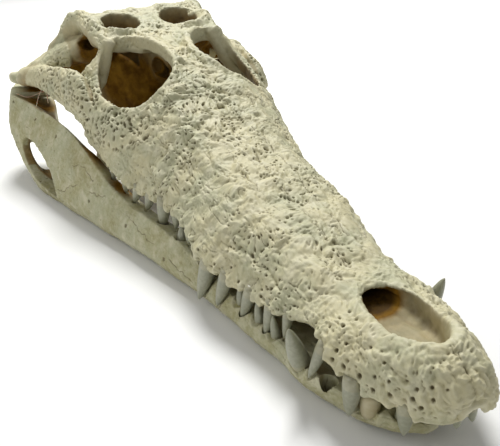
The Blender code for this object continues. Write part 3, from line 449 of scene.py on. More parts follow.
def ramus_rings(y):
    """Sections of the left half of the lower jaw through their eleven corner points."""
    top_x, top_z, bulge_x, bulge_z, foot_x, foot_z, inner_x, thick, fall = through(RAMUS, y).T
    middle = 0.5 * (top_z + foot_z)
    inner_z = top_z - fall * thick
    x = (top_x - thick, top_x - 0.5 * thick, top_x, 0.45 * top_x + 0.55 * bulge_x, bulge_x,
         0.35 * foot_x + 0.65 * bulge_x, foot_x, 0.5 * (foot_x + inner_x), inner_x, inner_x,
         inner_x)
    z = (inner_z, top_z - 0.4 * fall * thick, top_z, 0.6 * top_z + 0.4 * bulge_z, bulge_z,
         0.6 * foot_z + 0.4 * bulge_z, foot_z, foot_z + 0.002, 0.75 * foot_z + 0.25 * middle,
         middle, np.minimum(0.7 * top_z + 0.3 * middle, inner_z - 0.002))
    x = np.maximum(np.array(x), inner_x)
    return np.stack((x, np.broadcast_to(y, x.shape), np.array(z)), -1).swapaxes(0, 1)


def tooth_places(upper):
    """Base, direction, length, radius and wear of each tooth of the left side, as arrays."""
    rows = np.array(UPPER_TEETH if upper else LOWER_TEETH)
    y, inset, length, radius, out, back, worn = rows.T
    if upper:
        half, low = through(EDGE, y).T
        base = np.stack((half - inset, y, low + 0.003), -1)
    else:
        values = through(RAMUS, y)
        base = np.stack((values[:, 0] - inset, y, values[:, 1] - 0.003), -1)
    axis = np.stack((out, back, np.full(len(y), -1.0 if upper else 1.0)), -1)
    axis /= np.linalg.norm(axis, axis=1)[:, None]
    return base, axis, length, radius, worn


def tooth_rings(base, axis, length, radius, worn, rings=30, sides=28, grow=0.0, sharp=True):
    """A crown: rings along a slightly bent axis whose radius follows a plump cone to its tip, with
    two faint cutting edges fore and aft and fine ridges along it if it is sharp."""
    side = np.cross(axis, (0, 1, 0))
    side /= np.linalg.norm(side)
    other = np.cross(side, axis)
    share = np.concatenate(((-1.0, -0.5), np.linspace(0, 1, rings)))
    plump = np.array([(-1, 0.90), (0, 1.0), (0.25, 0.93), (0.55, 0.74), (0.8, 0.47), (0.93, 0.25),
                      (1.0, 0.05)])
    if worn:
        plump = np.array([(-1, 0.90), (0, 1.0), (0.4, 0.98), (0.7, 0.90), (0.88, 0.70),
                          (0.97, 0.40), (1.0, 0.06)])
    size = through(plump, share)[:, 0]
    reach = np.where(share < 0, TOOTH_ROOT * share, (length + 2 * grow) * share)
    bend = 0.06 * length * np.maximum(share, 0) ** 2
    centre = base + axis * reach[:, None] + side * bend[:, None]
    angle = np.linspace(0, 2 * math.pi, sides, endpoint=False)
    crown = np.clip(share, 0, 1)[:, None] * (1 - np.clip(share, 0, 1)[:, None])
    ridge = 1.0 + (0.05 * np.abs(np.sin(angle)) ** 16 + 0.010 * np.cos(13 * angle)) * 4 * crown
    if not sharp:
        ridge = np.ones((len(share), sides))
    spread = (radius + grow) * size[:, None] * ridge
    return (centre[:, None] + spread[..., None] * (side * np.cos(angle)[:, None]
                                                   + other * np.sin(angle)[:, None]))


# ---- meshes ----

def closed(rings):
    """Corners and triangles of a tube of rings: two triangles between each four neighbours and a
    fan to a middle point at each end, turned so that the volume they enclose is positive."""
    count, sides = rings.shape[:2]
    here = np.arange(count * sides).reshape(count, sides)
    there = np.roll(here, -1, axis=1)
    a, b, c, d = here[:-1], there[:-1], there[1:], here[1:]
    walls = np.concatenate((np.stack((a, b, c), -1), np.stack((a, c, d), -1))).reshape(-1, 3)
    first, last = count * sides, count * sides + 1
    caps = [np.stack((np.full(sides, first), there[0], here[0]), -1),
            np.stack((np.full(sides, last), here[-1], there[-1]), -1)]
    points = np.concatenate((rings.reshape(-1, 3), rings[:1].mean(1), rings[-1:].mean(1)))
    faces = np.concatenate([walls] + caps)
    corner = points[faces]
    if np.einsum("ij,ij->", corner[:, 0], np.cross(corner[:, 1], corner[:, 2])) < 0:
        faces = faces[:, ::-1]
    return points, faces


def join(parts):
    """Several (corners, triangles) as one."""
    offset = np.cumsum([0] + [len(points) for points, _ in parts])
    return (np.concatenate([points for points, _ in parts]),
            np.concatenate([faces + add for (_, faces), add in zip(parts, offset)]))


def both_sides(points, faces):
    """The same and its mirror image across the middle plane."""
    return join([(points, faces), (points * (-1, 1, 1), faces[:, ::-1])])


def put(name, points, faces, scale=1.0):
    """Make an object of corners and triangles."""
    mesh = bpy.data.meshes.new(name)
    mesh.vertices.add(len(points))
    mesh.vertices.foreach_set("co", (points * scale).astype(np.float32).ravel())
    mesh.loops.add(faces.size)
    mesh.loops.foreach_set("vertex_index", faces.astype(np.int32).ravel())
    mesh.polygons.add(len(faces))
    mesh.polygons.foreach_set("loop_start", np.arange(0, faces.size, 3, dtype=np.int32))
    mesh.update(calc_edges=True)
    made = bpy.data.objects.new(name, mesh)
    bpy.context.scene.collection.objects.link(made)
    return made


def take(made):
    """Corners and triangles of an object, which is removed."""
    mesh = made.data
    mesh.calc_loop_triangles()
    points = np.empty(len(mesh.vertices) * 3, np.float32)
    mesh.vertices.foreach_get("co", points)
    faces = np.empty(len(mesh.loop_triangles) * 3, np.int32)
    mesh.loop_triangles.foreach_get("vertices", faces)
    bpy.data.objects.remove(made)
    bpy.data.meshes.remove(mesh)
    return points.reshape(-1, 3).astype(float), faces.reshape(-1, 3).astype(np.int64)


def settle(made):
    """Replace an object's mesh by what its modifiers make of it."""
    bpy.context.view_layer.update()
    graph = bpy.context.evaluated_depsgraph_get()
    mesh = bpy.data.meshes.new_from_object(made.evaluated_get(graph))
    made.modifiers.clear()
    old, made.data = made.data, mesh
    bpy.data.meshes.remove(old)
    return made


def cut(body, cutters, solver="EXACT"):
    """Take cutters, each (corners, triangles) in shares of DCL, out of an object."""
    for points, faces in cutters:
        tool = put("cutter", points, faces, DCL)
        modifier = body.modifiers.new("cut", "BOOLEAN")
        modifier.operation, modifier.solver, modifier.object = "DIFFERENCE", solver, tool
        modifier.use_self = solver == "EXACT"
        settle(body)
        bpy.data.objects.remove(tool)
    return body


def melt(body, voxel):
    """Melt an object's overlapping shells into one skin of even squares and smooth its joins."""
    remesh = body.modifiers.new("melt", "REMESH")
    remesh.mode, remesh.voxel_size = "VOXEL", voxel
    smooth = body.modifiers.new("smooth", "SMOOTH")
    smooth.factor, smooth.iterations = 0.5, 6
    return settle(body)


def normals(points, faces):
    """Outward direction at each corner: the area-weighted mean of its triangles'."""
    corner = points[faces]
    face = np.cross(corner[:, 1] - corner[:, 0], corner[:, 2] - corner[:, 0])
    total = np.stack([sum(np.bincount(faces[:, k], face[:, axis], len(points)) for k in range(3))
                      for axis in range(3)], -1)
    return total / np.maximum(np.linalg.norm(total, axis=1), 1e-20)[:, None]


def sides_of(faces, count):
    """Each side between two corners, once."""
    pairs = np.sort(np.concatenate((faces[:, (0, 1)], faces[:, (1, 2)], faces[:, (2, 0)])), axis=1)
    keys = np.unique(pairs[:, 0] * count + pairs[:, 1])
    return keys // count, keys % count


def relax(values, sides, rounds, share=0.5):
    """Move values at corners toward the mean of their neighbours', several times over."""
    a, b = sides
    values = values.reshape(len(values), -1).copy()
    degree = np.bincount(a, minlength=len(values)) + np.bincount(b, minlength=len(values))
    for _ in range(rounds):
        for axis in range(values.shape[1]):
            row = values[:, axis]
            total = (np.bincount(a, row[b], len(values)) + np.bincount(b, row[a], len(values)))
            values[:, axis] = row + share * (total / np.maximum(degree, 1) - row)
    return values


def refine(points, faces, marked):
    """Split each marked triangle in four at the middles of its sides, and its neighbours in two or
    three, so that no corner hangs on a side."""
    count = len(points)
    sides = np.stack((faces[:, (0, 1)], faces[:, (1, 2)], faces[:, (2, 0)]), 1)
    low, high = sides.min(2), sides.max(2)
    keys, index = np.unique(low * count + high, return_inverse=True)
    index = index.reshape(-1, 3)
    wanted = np.zeros(len(keys), bool)
    wanted[index[marked].ravel()] = True
    number = np.where(wanted, np.cumsum(wanted) - 1 + count, -1)
    middle = number[index]
    split = (middle >= 0).sum(1)
    added = 0.5 * (points[keys[wanted] // count] + points[keys[wanted] % count])
    turn = np.where(split == 1, np.argmax(middle >= 0, 1),
                    np.where(split == 2, (np.argmin(middle >= 0, 1) + 1) % 3, 0))
    order = (turn[:, None] + np.arange(3)) % 3
    a, b, c = np.take_along_axis(faces, order, 1).T
    ab, bc, ca = np.take_along_axis(middle, order, 1).T
    one, two, three = split == 1, split == 2, split == 3
    pieces = [faces[split == 0]]
    for which, groups in ((one, ((a, ab, c), (ab, b, c))),
                          (two, ((ab, b, bc), (a, ab, bc), (a, bc, c))),
                          (three, ((a, ab, ca), (ab, b, bc), (ca, bc, c), (ab, bc, ca)))):
        pieces += [np.stack([corner[which] for corner in group], -1) for group in groups]
    return np.concatenate((points, added)), np.concatenate(pieces)


# ---- patterns worked out at points in space ----

def hashed(cell, salt):
    """A steady number from 0 to 1 for each whole-number cell, by mixing its three coordinates."""
    h = (cell[0].astype(np.uint32) * np.uint32(73856093)
         ^ cell[1].astype(np.uint32) * np.uint32(19349663)
         ^ cell[2].astype(np.uint32) * np.uint32(83492791) ^ np.uint32(salt * 40503 + 977))
    h ^= h >> np.uint32(15)
    h *= np.uint32(2246822519)
    h ^= h >> np.uint32(13)
    h *= np.uint32(3266489917)
    h ^= h >> np.uint32(16)
    return h.astype(np.float32) / np.float32(4294967296.0)


def noise(points, size, salt):
    """Smooth noise from -1 to 1: hashed numbers at the corners of cells of this size, blended
    across each cell by the fifth-power ease."""
    q = (points / size).T
    base = np.floor(q).astype(np.int64)
    t = (q - base).astype(np.float32)
    t = t * t * t * (t * (t * 6 - 15) + 10)
    total = np.zeros(len(points), np.float32)
    for corner in itertools.product((0, 1), repeat=3):
        weight = np.ones(len(points), np.float32)
        for axis, step in enumerate(corner):
            weight *= t[axis] if step else 1 - t[axis]
        total += weight * hashed([base[axis] + corner[axis] for axis in range(3)], salt)
    return 2 * total - 1


def layered(points, size, salt, layers=3):
    """Noise at halving sizes and strengths, added up."""
    return sum(noise(points, size / 2 ** k, salt + k) / 2 ** k for k in range(layers))


def warped(points, size, salt, reach):
    """Points moved about by noise of this size, up to reach each way, so that patterns worked out
    at them run unevenly."""
    return points + np.stack([noise(points, size, salt + k) for k in range(3)], -1) * reach


def scattered(points, size, salt):
    """Distance, in cells, to the nearest of points scattered one to a cell, and that one's own
    number from 0 to 1."""
    q = (points / size).T
    base = np.floor(q).astype(np.int64)
    t = (q - base).astype(np.float32)
    nearest = np.full(len(points), 9.0, np.float32)
    chance = np.zeros(len(points), np.float32)
    for step in itertools.product((-1, 0, 1), repeat=3):
        cell = [base[axis] + step[axis] for axis in range(3)]
        gap = sum((step[axis] + 0.08 + 0.84 * hashed(cell, salt + axis) - t[axis]) ** 2
                  for axis in range(3))
        chance = np.where(gap < nearest, hashed(cell, salt + 7), chance)
        nearest = np.minimum(nearest, gap)
    return np.sqrt(nearest), chance


def ease(low, high, value):
    """From 0 at low to 1 at high with level ends; high may be the lower of the two."""
    t = np.clip((value - low) / (high - low), 0, 1)
    return t * t * (3 - 2 * t)


def left_side(points):
    """Points with those of the right side brought over to the left."""
    return np.column_stack((np.abs(points[:, 0]), points[:, 1:]))


def path_gap(points, path):
    """Distance, in space or in a plane, from points to the straight stretches of a path."""
    path = np.array(path)[:, :points.shape[1]]
    best = np.full(len(points), 9.0)
    for start, end in zip(path, path[1:]):
        way = end - start
        t = np.clip((points - start) @ way / (way @ way), 0, 1)
        best = np.minimum(best, np.linalg.norm(points - start - t[:, None] * way, axis=1))
    return best


def oval_gap(x, y, opening):
    """How far points lie outside an oval's edge, in shares of DCL, negative inside."""
    cx, cy, wide, long, turn = opening
    dx, dy = x - cx, y - cy
    across = (dx * math.cos(turn) - dy * math.sin(turn)) / wide
    along = (dx * math.sin(turn) + dy * math.cos(turn)) / long
    far = np.hypot(across, along)
    return (far - 1) * np.hypot(dx, dy) / np.maximum(far, 1e-6)


def seams(x, y, lines):
    """1 along the middle of each line in a plane and 0 away from it, added up over the lines."""
    points = np.column_stack((x, y))
    return sum(ease(SEAM_EDGE, SEAM_DEEP, path_gap(points, line)) for line in lines)


# ---- the bones ----

def tooth_rooms(upper):
    """Plain crowns with room round them, to cut out of the jaw that they reach into."""
    return [closed(tooth_rings(*tooth, grow=TOOTH_ROOM, sharp=False, rings=8, sides=16))
            for tooth in zip(*tooth_places(upper))]


def eye_space():
    """The space of both eyes, rings by points by 3: it follows the roof and the cheeks at a wall's
    thickness and is open below."""
    y = np.linspace(*EYE_SPACE, 14)
    level = np.minimum(y, 0.860)
    half = through(EDGE, level)[:, 0] - CHEEK_WALL
    x = np.outer(np.linspace(-1, 1, 25), half)
    flat_y = np.broadcast_to(level, x.shape).ravel()
    z = roof_at(x.ravel(), flat_y).reshape(x.shape) - ROOF_WALL
    x = np.concatenate((x, half[None], -half[None]))
    z = np.concatenate((z, np.full((2, len(y)), -0.15)))
    return np.stack((x, np.broadcast_to(y, x.shape), z), -1).swapaxes(0, 1)


def cranium_body(voxel):
    """The cranium's shells, cut open and melted into one bone: corners and triangles in metres."""
    face = put("face", *closed(face_rings(stations(EDGE))), DCL)
    orbit, fenestra, suborbital = (
        both_sides(*closed(upright(opening, ((low, 1.0), (high, 1.0)))))
        for opening, low, high in ((ORBIT, 0.030, 0.200), (UPPER_FENESTRA, 0.06, 0.20),
                                   (SUBORBITAL, -0.08, 0.052)))
    cut(face, [closed(eye_space()), orbit, suborbital,
               closed(upright(NARIS, ((0.031, 1.0), (0.120, 1.06))))])
    table = cut(put("table", *closed(block_rings(TABLE, 0.5)), DCL), [fenestra, orbit])
    braincase = cut(put("braincase", *closed(block_rings(BRAINCASE, 0.8)), DCL), [fenestra])
    occiput = cut(put("occiput", *closed(block_rings(OCCIPUT, 0.5)), DCL), [fenestra])
    shells = [take(part) for part in (face, table, braincase, occiput)]
    rods = [bar_rings(path) for path in (POSTORBITAL, TABLE_HORN, CONDYLE, PTERYGOID,
                                         ECTOPTERYGOID, PREFRONTAL_PILLAR, QUADRATE_WING,
                                         HORN_WING)]
    rods += [bar_rings(TEMPORAL_BAR, TEMPORAL_BAR_ROLL), bar_rings(QUADRATE, QUADRATE_ROLL)]
    parts = [both_sides(*closed(rings)) for rings in rods]
    parts += [closed(bar_rings(PALATINE)), closed(ball_rings(*NECK_CONDYLE))]
    shells += [(points * DCL, faces) for points, faces in parts]
    body = melt(put("cranium_body", *join(shells)), voxel)
    holes = [closed(ball_rings(*FORAMEN)), closed(ball_rings(*CHOANA)),
             both_sides(*closed(bar_rings(EAR))), both_sides(*closed(ball_rings(*OLFACTORY)))]
    holes += [both_sides(*room) for room in tooth_rooms(False)] + [closed(bar_rings(NOSE_PASSAGE))]
    return take(cut(body, holes, "MANIFOLD"))


def ramus_body(voxel):
    """The left half of the lower jaw, hollowed and cut open: corners and triangles in metres."""
    body = put("ramus", *closed(ramus_rings(stations(RAMUS))), DCL)
    window = np.array([np.column_stack((np.full(40, x), *oval(JAW_FENESTRA, 40)))
                       for x in WINDOW_REACH])
    cut(body, [closed(bar_rings(ADDUCTOR, ADDUCTOR_ROLL)), closed(bar_rings(JAW_FLOOR)),
               closed(window)])
    articular, faces = closed(bar_rings(ARTICULAR))
    body = melt(put("ramus_body", *join([take(body), (articular * DCL, faces)])), voxel)
    x, y, z, radius, depth = EMPTY_SOCKET
    socket = upright((x, y, radius, radius, 0.0), ((z - depth, 0.35), (z - 0.8 * depth, 0.62),
                                                   (z - 0.2 * depth, 0.95), (z + depth, 1.05)), 24)
    holes = [closed(socket), closed(bar_rings(GLENOID))] + tooth_rooms(True)
    return take(cut(body, holes, "MANIFOLD"))


def tooth_collars(points, upper, swell, gap):
    """Height in metres round each tooth: a swollen rim of bone, and a narrow groove where the
    crown leaves it."""
    height = np.zeros(len(points))
    folded = left_side(points)
    for base, axis, _, radius, _ in zip(*tooth_places(upper)):
        near = np.flatnonzero(np.abs(points[:, 1] - base[1]) < 3.5 * radius)
        offset = folded[near] - base
        along = offset @ axis
        away = np.linalg.norm(offset - along[:, None] * axis, axis=1)
        close = np.exp(-(along / 0.016) ** 2)
        rim = np.exp(-((away - 1.55 * radius) / (0.45 * radius)) ** 2)
        slit = ease(radius + 2.4 * MM, radius + 0.9 * MM, away) * (along > -0.010)
        height[near] += close * (swell * rim - gap * slit)
    return height


def dents(points):
    """Height in metres of round dents on both sides: a smooth bowl about each centre."""
    folded = left_side(points)
    height = np.zeros(len(points))
    for x, y, z, radius, depth in DENTS:
        away = np.linalg.norm(folded - (x, y, z), axis=1)
        height -= 0.001 * depth * ease(radius, 0.25 * radius, away)
    return height


def edge_holes(points, skin):
    """Height in metres of the nutrient holes along the upper jaw's edge, each side a little
    different."""
    height = np.zeros(len(points))
    rows = np.array(EDGE_HOLES)
    for side, shift in ((-1, 0.0), (1, 0.006)):
        y = rows[:, 0] + shift
        half, low = through(EDGE, y).T
        level = low + rows[:, 1]
        fine = np.linspace(0.3, 1.0, 200)
        for k, radius in enumerate(rows[:, 2]):
            heights = roof_at(fine * half[k], np.full(200, y[k]))
            x = side * half[k] * fine[int(np.argmin(np.abs(heights - level[k])))]
            away = np.linalg.norm(points - (x, y[k], level[k]), axis=1)
            bowl = ease(radius * 1.10, radius * 0.40, away)
            height -= HOLE_DEPTH * DCL * radius * bowl * skin
    return height


def cranium_zones(points, skin):
    """For each corner of the cranium its distance from the nearest opening of the roof and from
    the upper window, and shares of honeycomb, of muzzle, of roughness and of calm."""
    x, y, z = points.T
    side, folded = np.abs(x), left_side(points)
    orbit, naris = oval_gap(side, y, ORBIT), oval_gap(x, y, NARIS)
    fenestra = oval_gap(side, y, UPPER_FENESTRA)
    roof = (z > roof_at(x, y) - 0.030) | (y > 0.86)
    rim = np.where(roof, np.minimum(np.minimum(orbit, naris), fenestra), 1.0)
    comb = ease(0.046, 0.031, path_gap(folded, CHEEK_COMB)) * ease(0.100, 0.116, side) * skin
    smooth = ease(0.030, 0.016, path_gap(folded, POSTORBITAL)) * ease(0.125, 0.105, z)
    smooth = np.maximum(smooth, ease(0.985, 1.010, y) * ease(0.13, 0.11, z))
    comb *= 1 - smooth
    rough = skin * (0.30 + 0.70 * ease(0.002, 0.014, rim)) * (1 - 0.85 * smooth)
    calm = ease(0.095, 0.050, np.linalg.norm(folded - CALM, axis=1)) * (1 - comb)
    return rim, fenestra, comb, ease(0.24, 0.15, y), rough, calm


def cranium_relief(points, normal, skin, sizes):
    """Height in metres to raise each corner of the cranium by, and how hollow it is. Broad lumps,
    plump folds as high as stretched noise is far from nought, slits where finer noise changes
    sign, pits round scattered points in fields of their own, a honeycomb on the cheek bar,
    sutures, nutrient holes, dents and the rims of the openings. Patterns have their sizes in
    metres, and their heights are added up in millimetres."""
    p = points * DCL
    x, y, z = points.T
    side = np.abs(x)
    rim, fenestra, comb, nose, rough, calm = cranium_zones(points, skin)
    # fields of stronger and weaker relief
    field = ease(-0.30, 0.20, noise(p, 0.020, 41) + 0.4 * noise(p, 0.008, 42)
                 + 0.40 * ease(0.045, 0.085, side) * ease(0.62, 0.50, y) - 0.05)
    # lumps, folds, slits and pits
    q = warped(p, 0.010, 60, 0.0030)
    lumps = 1.25 * layered(q, 0.018, 1, 2) + 0.55 * noise(q, 0.0080, 9)
    long = q * np.array((1.0, 0.62, 1.0))
    wide_fold, fine_fold = noise(long, 0.0066, 21), noise(long, 0.0034, 22)
    folds = (2.2 * np.sqrt(wide_fold ** 2 + 0.006) + 1.4 * np.sqrt(fine_fold ** 2 + 0.005)
             - 1.1) * (0.55 + 0.45 * field) * (1 - 0.45 * calm)
    slit = noise(q * np.array((1.0, 0.35, 1.0)), 0.0042, 24)
    slit = np.exp(-(slit / 0.055) ** 2) * ease(0.05, 0.40, noise(p, 0.007, 25))
    grain = 0.30 * noise(q, 0.0017, 31) + 0.12 * noise(q, 0.0009, 32)
    far, chance = scattered(q, 0.0048, 100)
    big = ease(0.28 + 0.12 * (chance < 0.14), 0.08, far) * (chance < 0.36)
    near, luck = scattered(q, 0.0026, 120)
    small = ease(0.37, 0.13, near) * (luck < 0.70)
    well, depth = scattered(q, 0.0038, 140)
    cells = ease(0.50, 0.23, well) * (0.60 + 0.40 * depth)
    height = rough * (lumps + folds * (1 - 0.75 * comb) * (1 - 0.20 * nose))
    height += grain * (0.3 + 0.7 * skin) * (1 + 0.6 * nose)
    height += 0.9 * (1 - skin) * layered(q, 0.010, 35, 2)
    plain = rough * (1 - comb) * (1 - 0.55 * nose) * (1 - 0.75 * calm)
    height -= plain * ((0.25 + 0.75 * field) * 1.5 * big + (0.25 + 0.75 * field) * 1.15 * small
                       + 0.50 * slit)
    height -= comb * (2.4 * cells - 0.6)
    # fine grooves that fan out round the nostril
    radial = np.arctan2(x, 0.10 - y) * 46 + 2.0 * noise(p, 0.006, 51)
    height += 0.24 * nose * ease(0.09, 0.03, y) * rough * np.sin(radial)
    # how dark each corner is painted: dirt and painted shade in the pits, slits and honeycomb
    hollow = (plain * ((0.3 + 0.7 * field) * (0.95 * big + 1.0 * small) + 0.45 * slit)
              + comb * cells)
    # sutures, which wander by about a millimetre and fade in and out
    wander = np.stack([noise(p, 0.0026, 71 + k) + 0.6 * noise(p, 0.008, 75 + k)
                       for k in range(2)]) * 1.3 * MM
    seam = seams(side + wander[0], y + wander[1], SUTURES) * skin * (normal[:, 2] > 0.1)
    seam = seam * ease(-0.25, 0.25, noise(p, 0.010, 73))
    height -= 0.45 * seam
    hollow += 0.55 * seam
    # rims round the openings and the upper windows' crests
    height += 0.8 * np.exp(-((rim - 0.007) / 0.006) ** 2) * skin * (y < 0.86)
    crest = np.exp(-((fenestra - 0.012) / 0.009) ** 2) * ease(0.950, 0.920, y) * (z > 0.12)
    height += 3.6 * crest * ease(0.030, 0.060, side)
    height *= 0.001 * sizes.relief
    # from here on in metres: the groove at the snout tip, holes, dents and tooth sockets
    groove = np.exp(-((x + 0.0005) / 0.004) ** 2) * ease(0.034, 0.018, y)
    height -= 0.0009 * groove * skin
    holes = edge_holes(points, skin)
    height += holes + dents(points) * skin
    height += tooth_collars(points, True, 0.0011, 0.0016)
    # the nutrient holes are painted dark too, as painted shade
    return height, np.clip(hollow - holes / 0.0010, 0, 1)


def jaw_relief(points, normal, skin, sizes):
    """Height in metres to raise each corner of the lower jaw by, and how hollow it is: long faint
    grooves, a few small holes, rougher bone toward the rear corner, and the seams of its bones.
    Patterns have their sizes in metres, and their heights are added up in millimetres."""
    p = points * DCL
    y, z = points[:, 1:].T
    q = warped(p, 0.014, 260, 0.002)
    long = q * np.array((1.0, 0.20, 1.0))
    groove = noise(long, 0.0030, 201) + 0.5 * noise(long, 0.0015, 202)
    lines = np.exp(-(groove / 0.10) ** 2)
    rear = ease(0.78, 0.98, y)
    front = ease(0.30, 0.16, y)
    height = 0.60 * layered(q, 0.022, 210, 3) + 0.16 * noise(q, 0.003, 214)
    height += 0.12 * noise(q, 0.0012, 215) - (0.20 + 0.14 * front) * lines
    near, luck = scattered(q, 0.0055, 220)
    holes = ease(0.20, 0.09, near) * (luck < 0.40) * (0.35 + 0.65 * np.maximum(rear, front))
    tiny, _ = scattered(q, 0.0023, 240)
    pores = ease(0.34, 0.14, tiny) * ease(0.1, 0.5, noise(p, 0.016, 241)) * (0.4 + 0.6 * rear)
    for hole_y, hole_z in JAW_HOLES:
        away = np.hypot(y - hole_y, z - hole_z) + 0.0006 * noise(p, 0.002, 245)
        holes = np.maximum(holes, ease(0.0040, 0.0018, away) * skin)
    height -= 0.85 * holes + 0.30 * pores
    wander = np.stack([noise(p, 0.0034, 250 + k) + 0.8 * noise(p, 0.011, 254 + k)
                       for k in range(2)]) * 1.4 * MM
    seam = seams(y + wander[0], z + wander[1], JAW_SUTURES) * skin
    seam = seam * ease(-0.25, 0.2, noise(p, 0.013, 252))
    height -= 0.40 * seam
    # how dark each corner is painted: dirt and painted shade in the holes, pores and grooves, and
    # the dark seams
    dark = 0.7 * holes + 0.4 * pores + 0.20 * lines + 0.55 * seam
    height *= 0.001 * sizes.relief * (0.35 + 0.65 * skin)
    height += tooth_collars(points, False, 0.0009, 0.0014)
    return height, np.clip(dark, 0, 1)


def stains_and_shade_at(points, inside):
    """How stained and shaded each corner is, from 0 to 1 for brown stain and up to 2 for the painted
    shade of deep recesses and holes: soft balls about old stains, for bone that faces the inside of
    the skull, less close under the roof and on the bar behind the eye opening."""
    folded = left_side(points)
    total = np.zeros(len(points))
    for x, y, z, radius, strength in STAINS_AND_SHADES:
        away = np.linalg.norm(folded - (x, y, z), axis=1) / radius
        total = np.maximum(total, strength * ease(1.20, 0.30, away))
    under_roof = ease(0.140, 0.105, points[:, 2]) + (points[:, 1] > 0.88)
    bar = ease(0.030, 0.016, path_gap(folded, POSTORBITAL))
    return total * inside * np.minimum(under_roof, 1) * (1 - 0.9 * bar)


def dress(name, points, faces, normal, marks, material, node):
    """Put one piece in place above the floor, with its marks, shading and material."""
    used, faces = np.unique(faces, return_inverse=True)
    made = put(name, placed(points[used]), faces.reshape(-1, 3))
    mesh = made.data
    colour = np.ones((len(used), 4), np.float32)
    colour[:, :3] = marks[used]
    layer = mesh.attributes.new("marks", "FLOAT_COLOR", "POINT")
    layer.data.foreach_set("color", colour.ravel())
    mesh.shade_smooth()
    if normal is not None:
        mesh.normals_split_custom_set_from_vertices(turned(normal[used]).tolist())
    mesh.materials.append(material)
    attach(made, "root")
    if node:
        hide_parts(node)
    return made


def turned(vectors):
    """Directions of the level skull, tipped forward as it rests."""
    c, s = math.cos(PITCH), math.sin(PITCH)
    return vectors @ np.array(((1, 0, 0), (0, c, s), (0, -s, c)))


def placed(points):
    """Points of the level skull in metres, tipped forward and set down on the floor."""
    return turned(points) + np.array((0.0, REAR, LIFT))


def finished_bone(points, faces, relief, skin_of, sizes):
    """Refine the skin that shows, raise it by its relief, and return corners, triangles, outward
    directions, how hollow each corner is for the dirt and painted shade, how raised it is for the
    painted highlight, and how far it lies inside, off the outer skin."""
    normal = normals(points, faces)
    skin = skin_of(points / DCL, normal)
    points, faces = refine(points, faces, skin[faces].max(1) > 0)
    sides = sides_of(faces, len(points))
    points = relax(points, sides, rounds=2, share=0.4)
    normal = normals(points, faces)
    inside = 1 - relax(skin_of(points / DCL, normal), sides, rounds=4)[:, 0]
    skin = 1 - inside
    height, hollow = relief(points / DCL, normal, skin, sizes)
    points = points + normal * height[:, None]
    normal = normals(points, faces)
    mean = relax(points, sides, rounds=10)
    bowl = np.einsum("ij,ij->i", mean - points, normal)
    # hollows below the smoothed bone get more of the dirt and painted shade
    hollow = np.clip(0.75 * hollow + bowl / DIRT_AND_SHADE_DEPTH, 0, 1)
    # ridges above the smoothed bone are painted paler: a painted highlight
    raised = np.clip(-bowl / HIGHLIGHT_HEIGHT, 0, 1)
    return points, faces, normal, hollow, raised, inside


def cranium_skin(points, normal):
    """1 where the cranium's surface faces outward and upward, where it shows its rough skin, and
    0 on the palate, in the eye and muscle spaces and behind."""
    x, y, z = points.T
    half, low = through(EDGE, np.clip(y, 0, 0.86)).T
    roof = roof_at(x, y)
    centre = 0.5 * (low + roof_at(0 * x, y))
    outward = normal[:, 0] * x * 2.0 + normal[:, 2] * (z - centre + 0.02)
    # the face and its lower edge, the top of the table and the cheek bar
    face = (y < 0.872) & (z > roof - 0.020) & (outward > 0.0) & (normal[:, 2] > -0.45)
    edge = (y < 0.80) & (z > low - 0.006) & (np.abs(x) > 0.8 * half)
    face |= edge & (normal[:, 2] > -0.45) & (outward > 0)
    top = (y > 0.83) & (z > 0.128) & (normal[:, 2] > 0.30)
    bar = (y > 0.78) & (np.abs(x) > 0.150) & (y < 1.03) & (normal[:, 0] * np.sign(x) > 0.15)
    # not within the openings, nor in the passage behind the nostril
    naris = oval_gap(x, y, NARIS) < -0.001
    orbit = oval_gap(np.abs(x), y, ORBIT) < -0.001
    shut = (naris | (orbit & (np.abs(x) < 0.15))) & (y < 0.87)
    shut |= (np.abs(x) < 0.032) & (np.abs(y - 0.185) < 0.042) & (z < roof - 0.007)
    return ((face | top | bar) & ~shut).astype(float)


def jaw_skin(points, normal):
    """1 on the lower jaw's outer side, 0 inside its muscle space and toward the tongue."""
    x, y = points[:, :2].T
    row = through(RAMUS, np.clip(y, 0.034, 1.176))
    outer = (normal[:, 0] > -0.1) & (x > 0.55 * row[:, 0]) & (x > row[:, 6])
    outer &= (y < 0.94) | (normal[:, 2] < 0.60)
    return outer.astype(float)


# ---- properties ----

def linear(code):
    """The linear colour of an sRGB hex code: each channel below 0.04045 is divided by 12.92, and
    any other is raised by 0.055, divided by 1.055 and taken to the power 2.4."""
    channels = [int(code[k:k + 2], 16) / 255 for k in (1, 3, 5)]
    return tuple(c / 12.92 if c <= 0.04045 else ((c + 0.055) / 1.055) ** 2.4 for c in channels)


def colour_prop(name, text, code):
    """A colour setting with its default as an sRGB hex code."""
    return bpy.props.FloatVectorProperty(name=name, description=text, default=linear(code),
                                         subtype="COLOR", size=3, min=0.0, max=1.0)


class SkullSizes(bpy.types.PropertyGroup):
    """Sizes of the skull's surface."""
    grain: bpy.props.FloatProperty(
        name="Grain", description="Side of the squares that the bone is melted into, in metres",
        default=0.0010, min=0.0006, max=0.004, precision=5, subtype="DISTANCE", unit="LENGTH")
    relief: bpy.props.FloatProperty(
        name="Relief", description="Height of the lumps, pits and wrinkles against the real bone's",
        default=1.0, min=0.0, max=2.0, subtype="FACTOR")
    fibre: bpy.props.FloatProperty(
        name="Fibre", description="Thickness of the dried fibres at the jaw joint, in metres",
        default=0.0006, min=0.0003, max=0.002, precision=5, subtype="DISTANCE", unit="LENGTH")


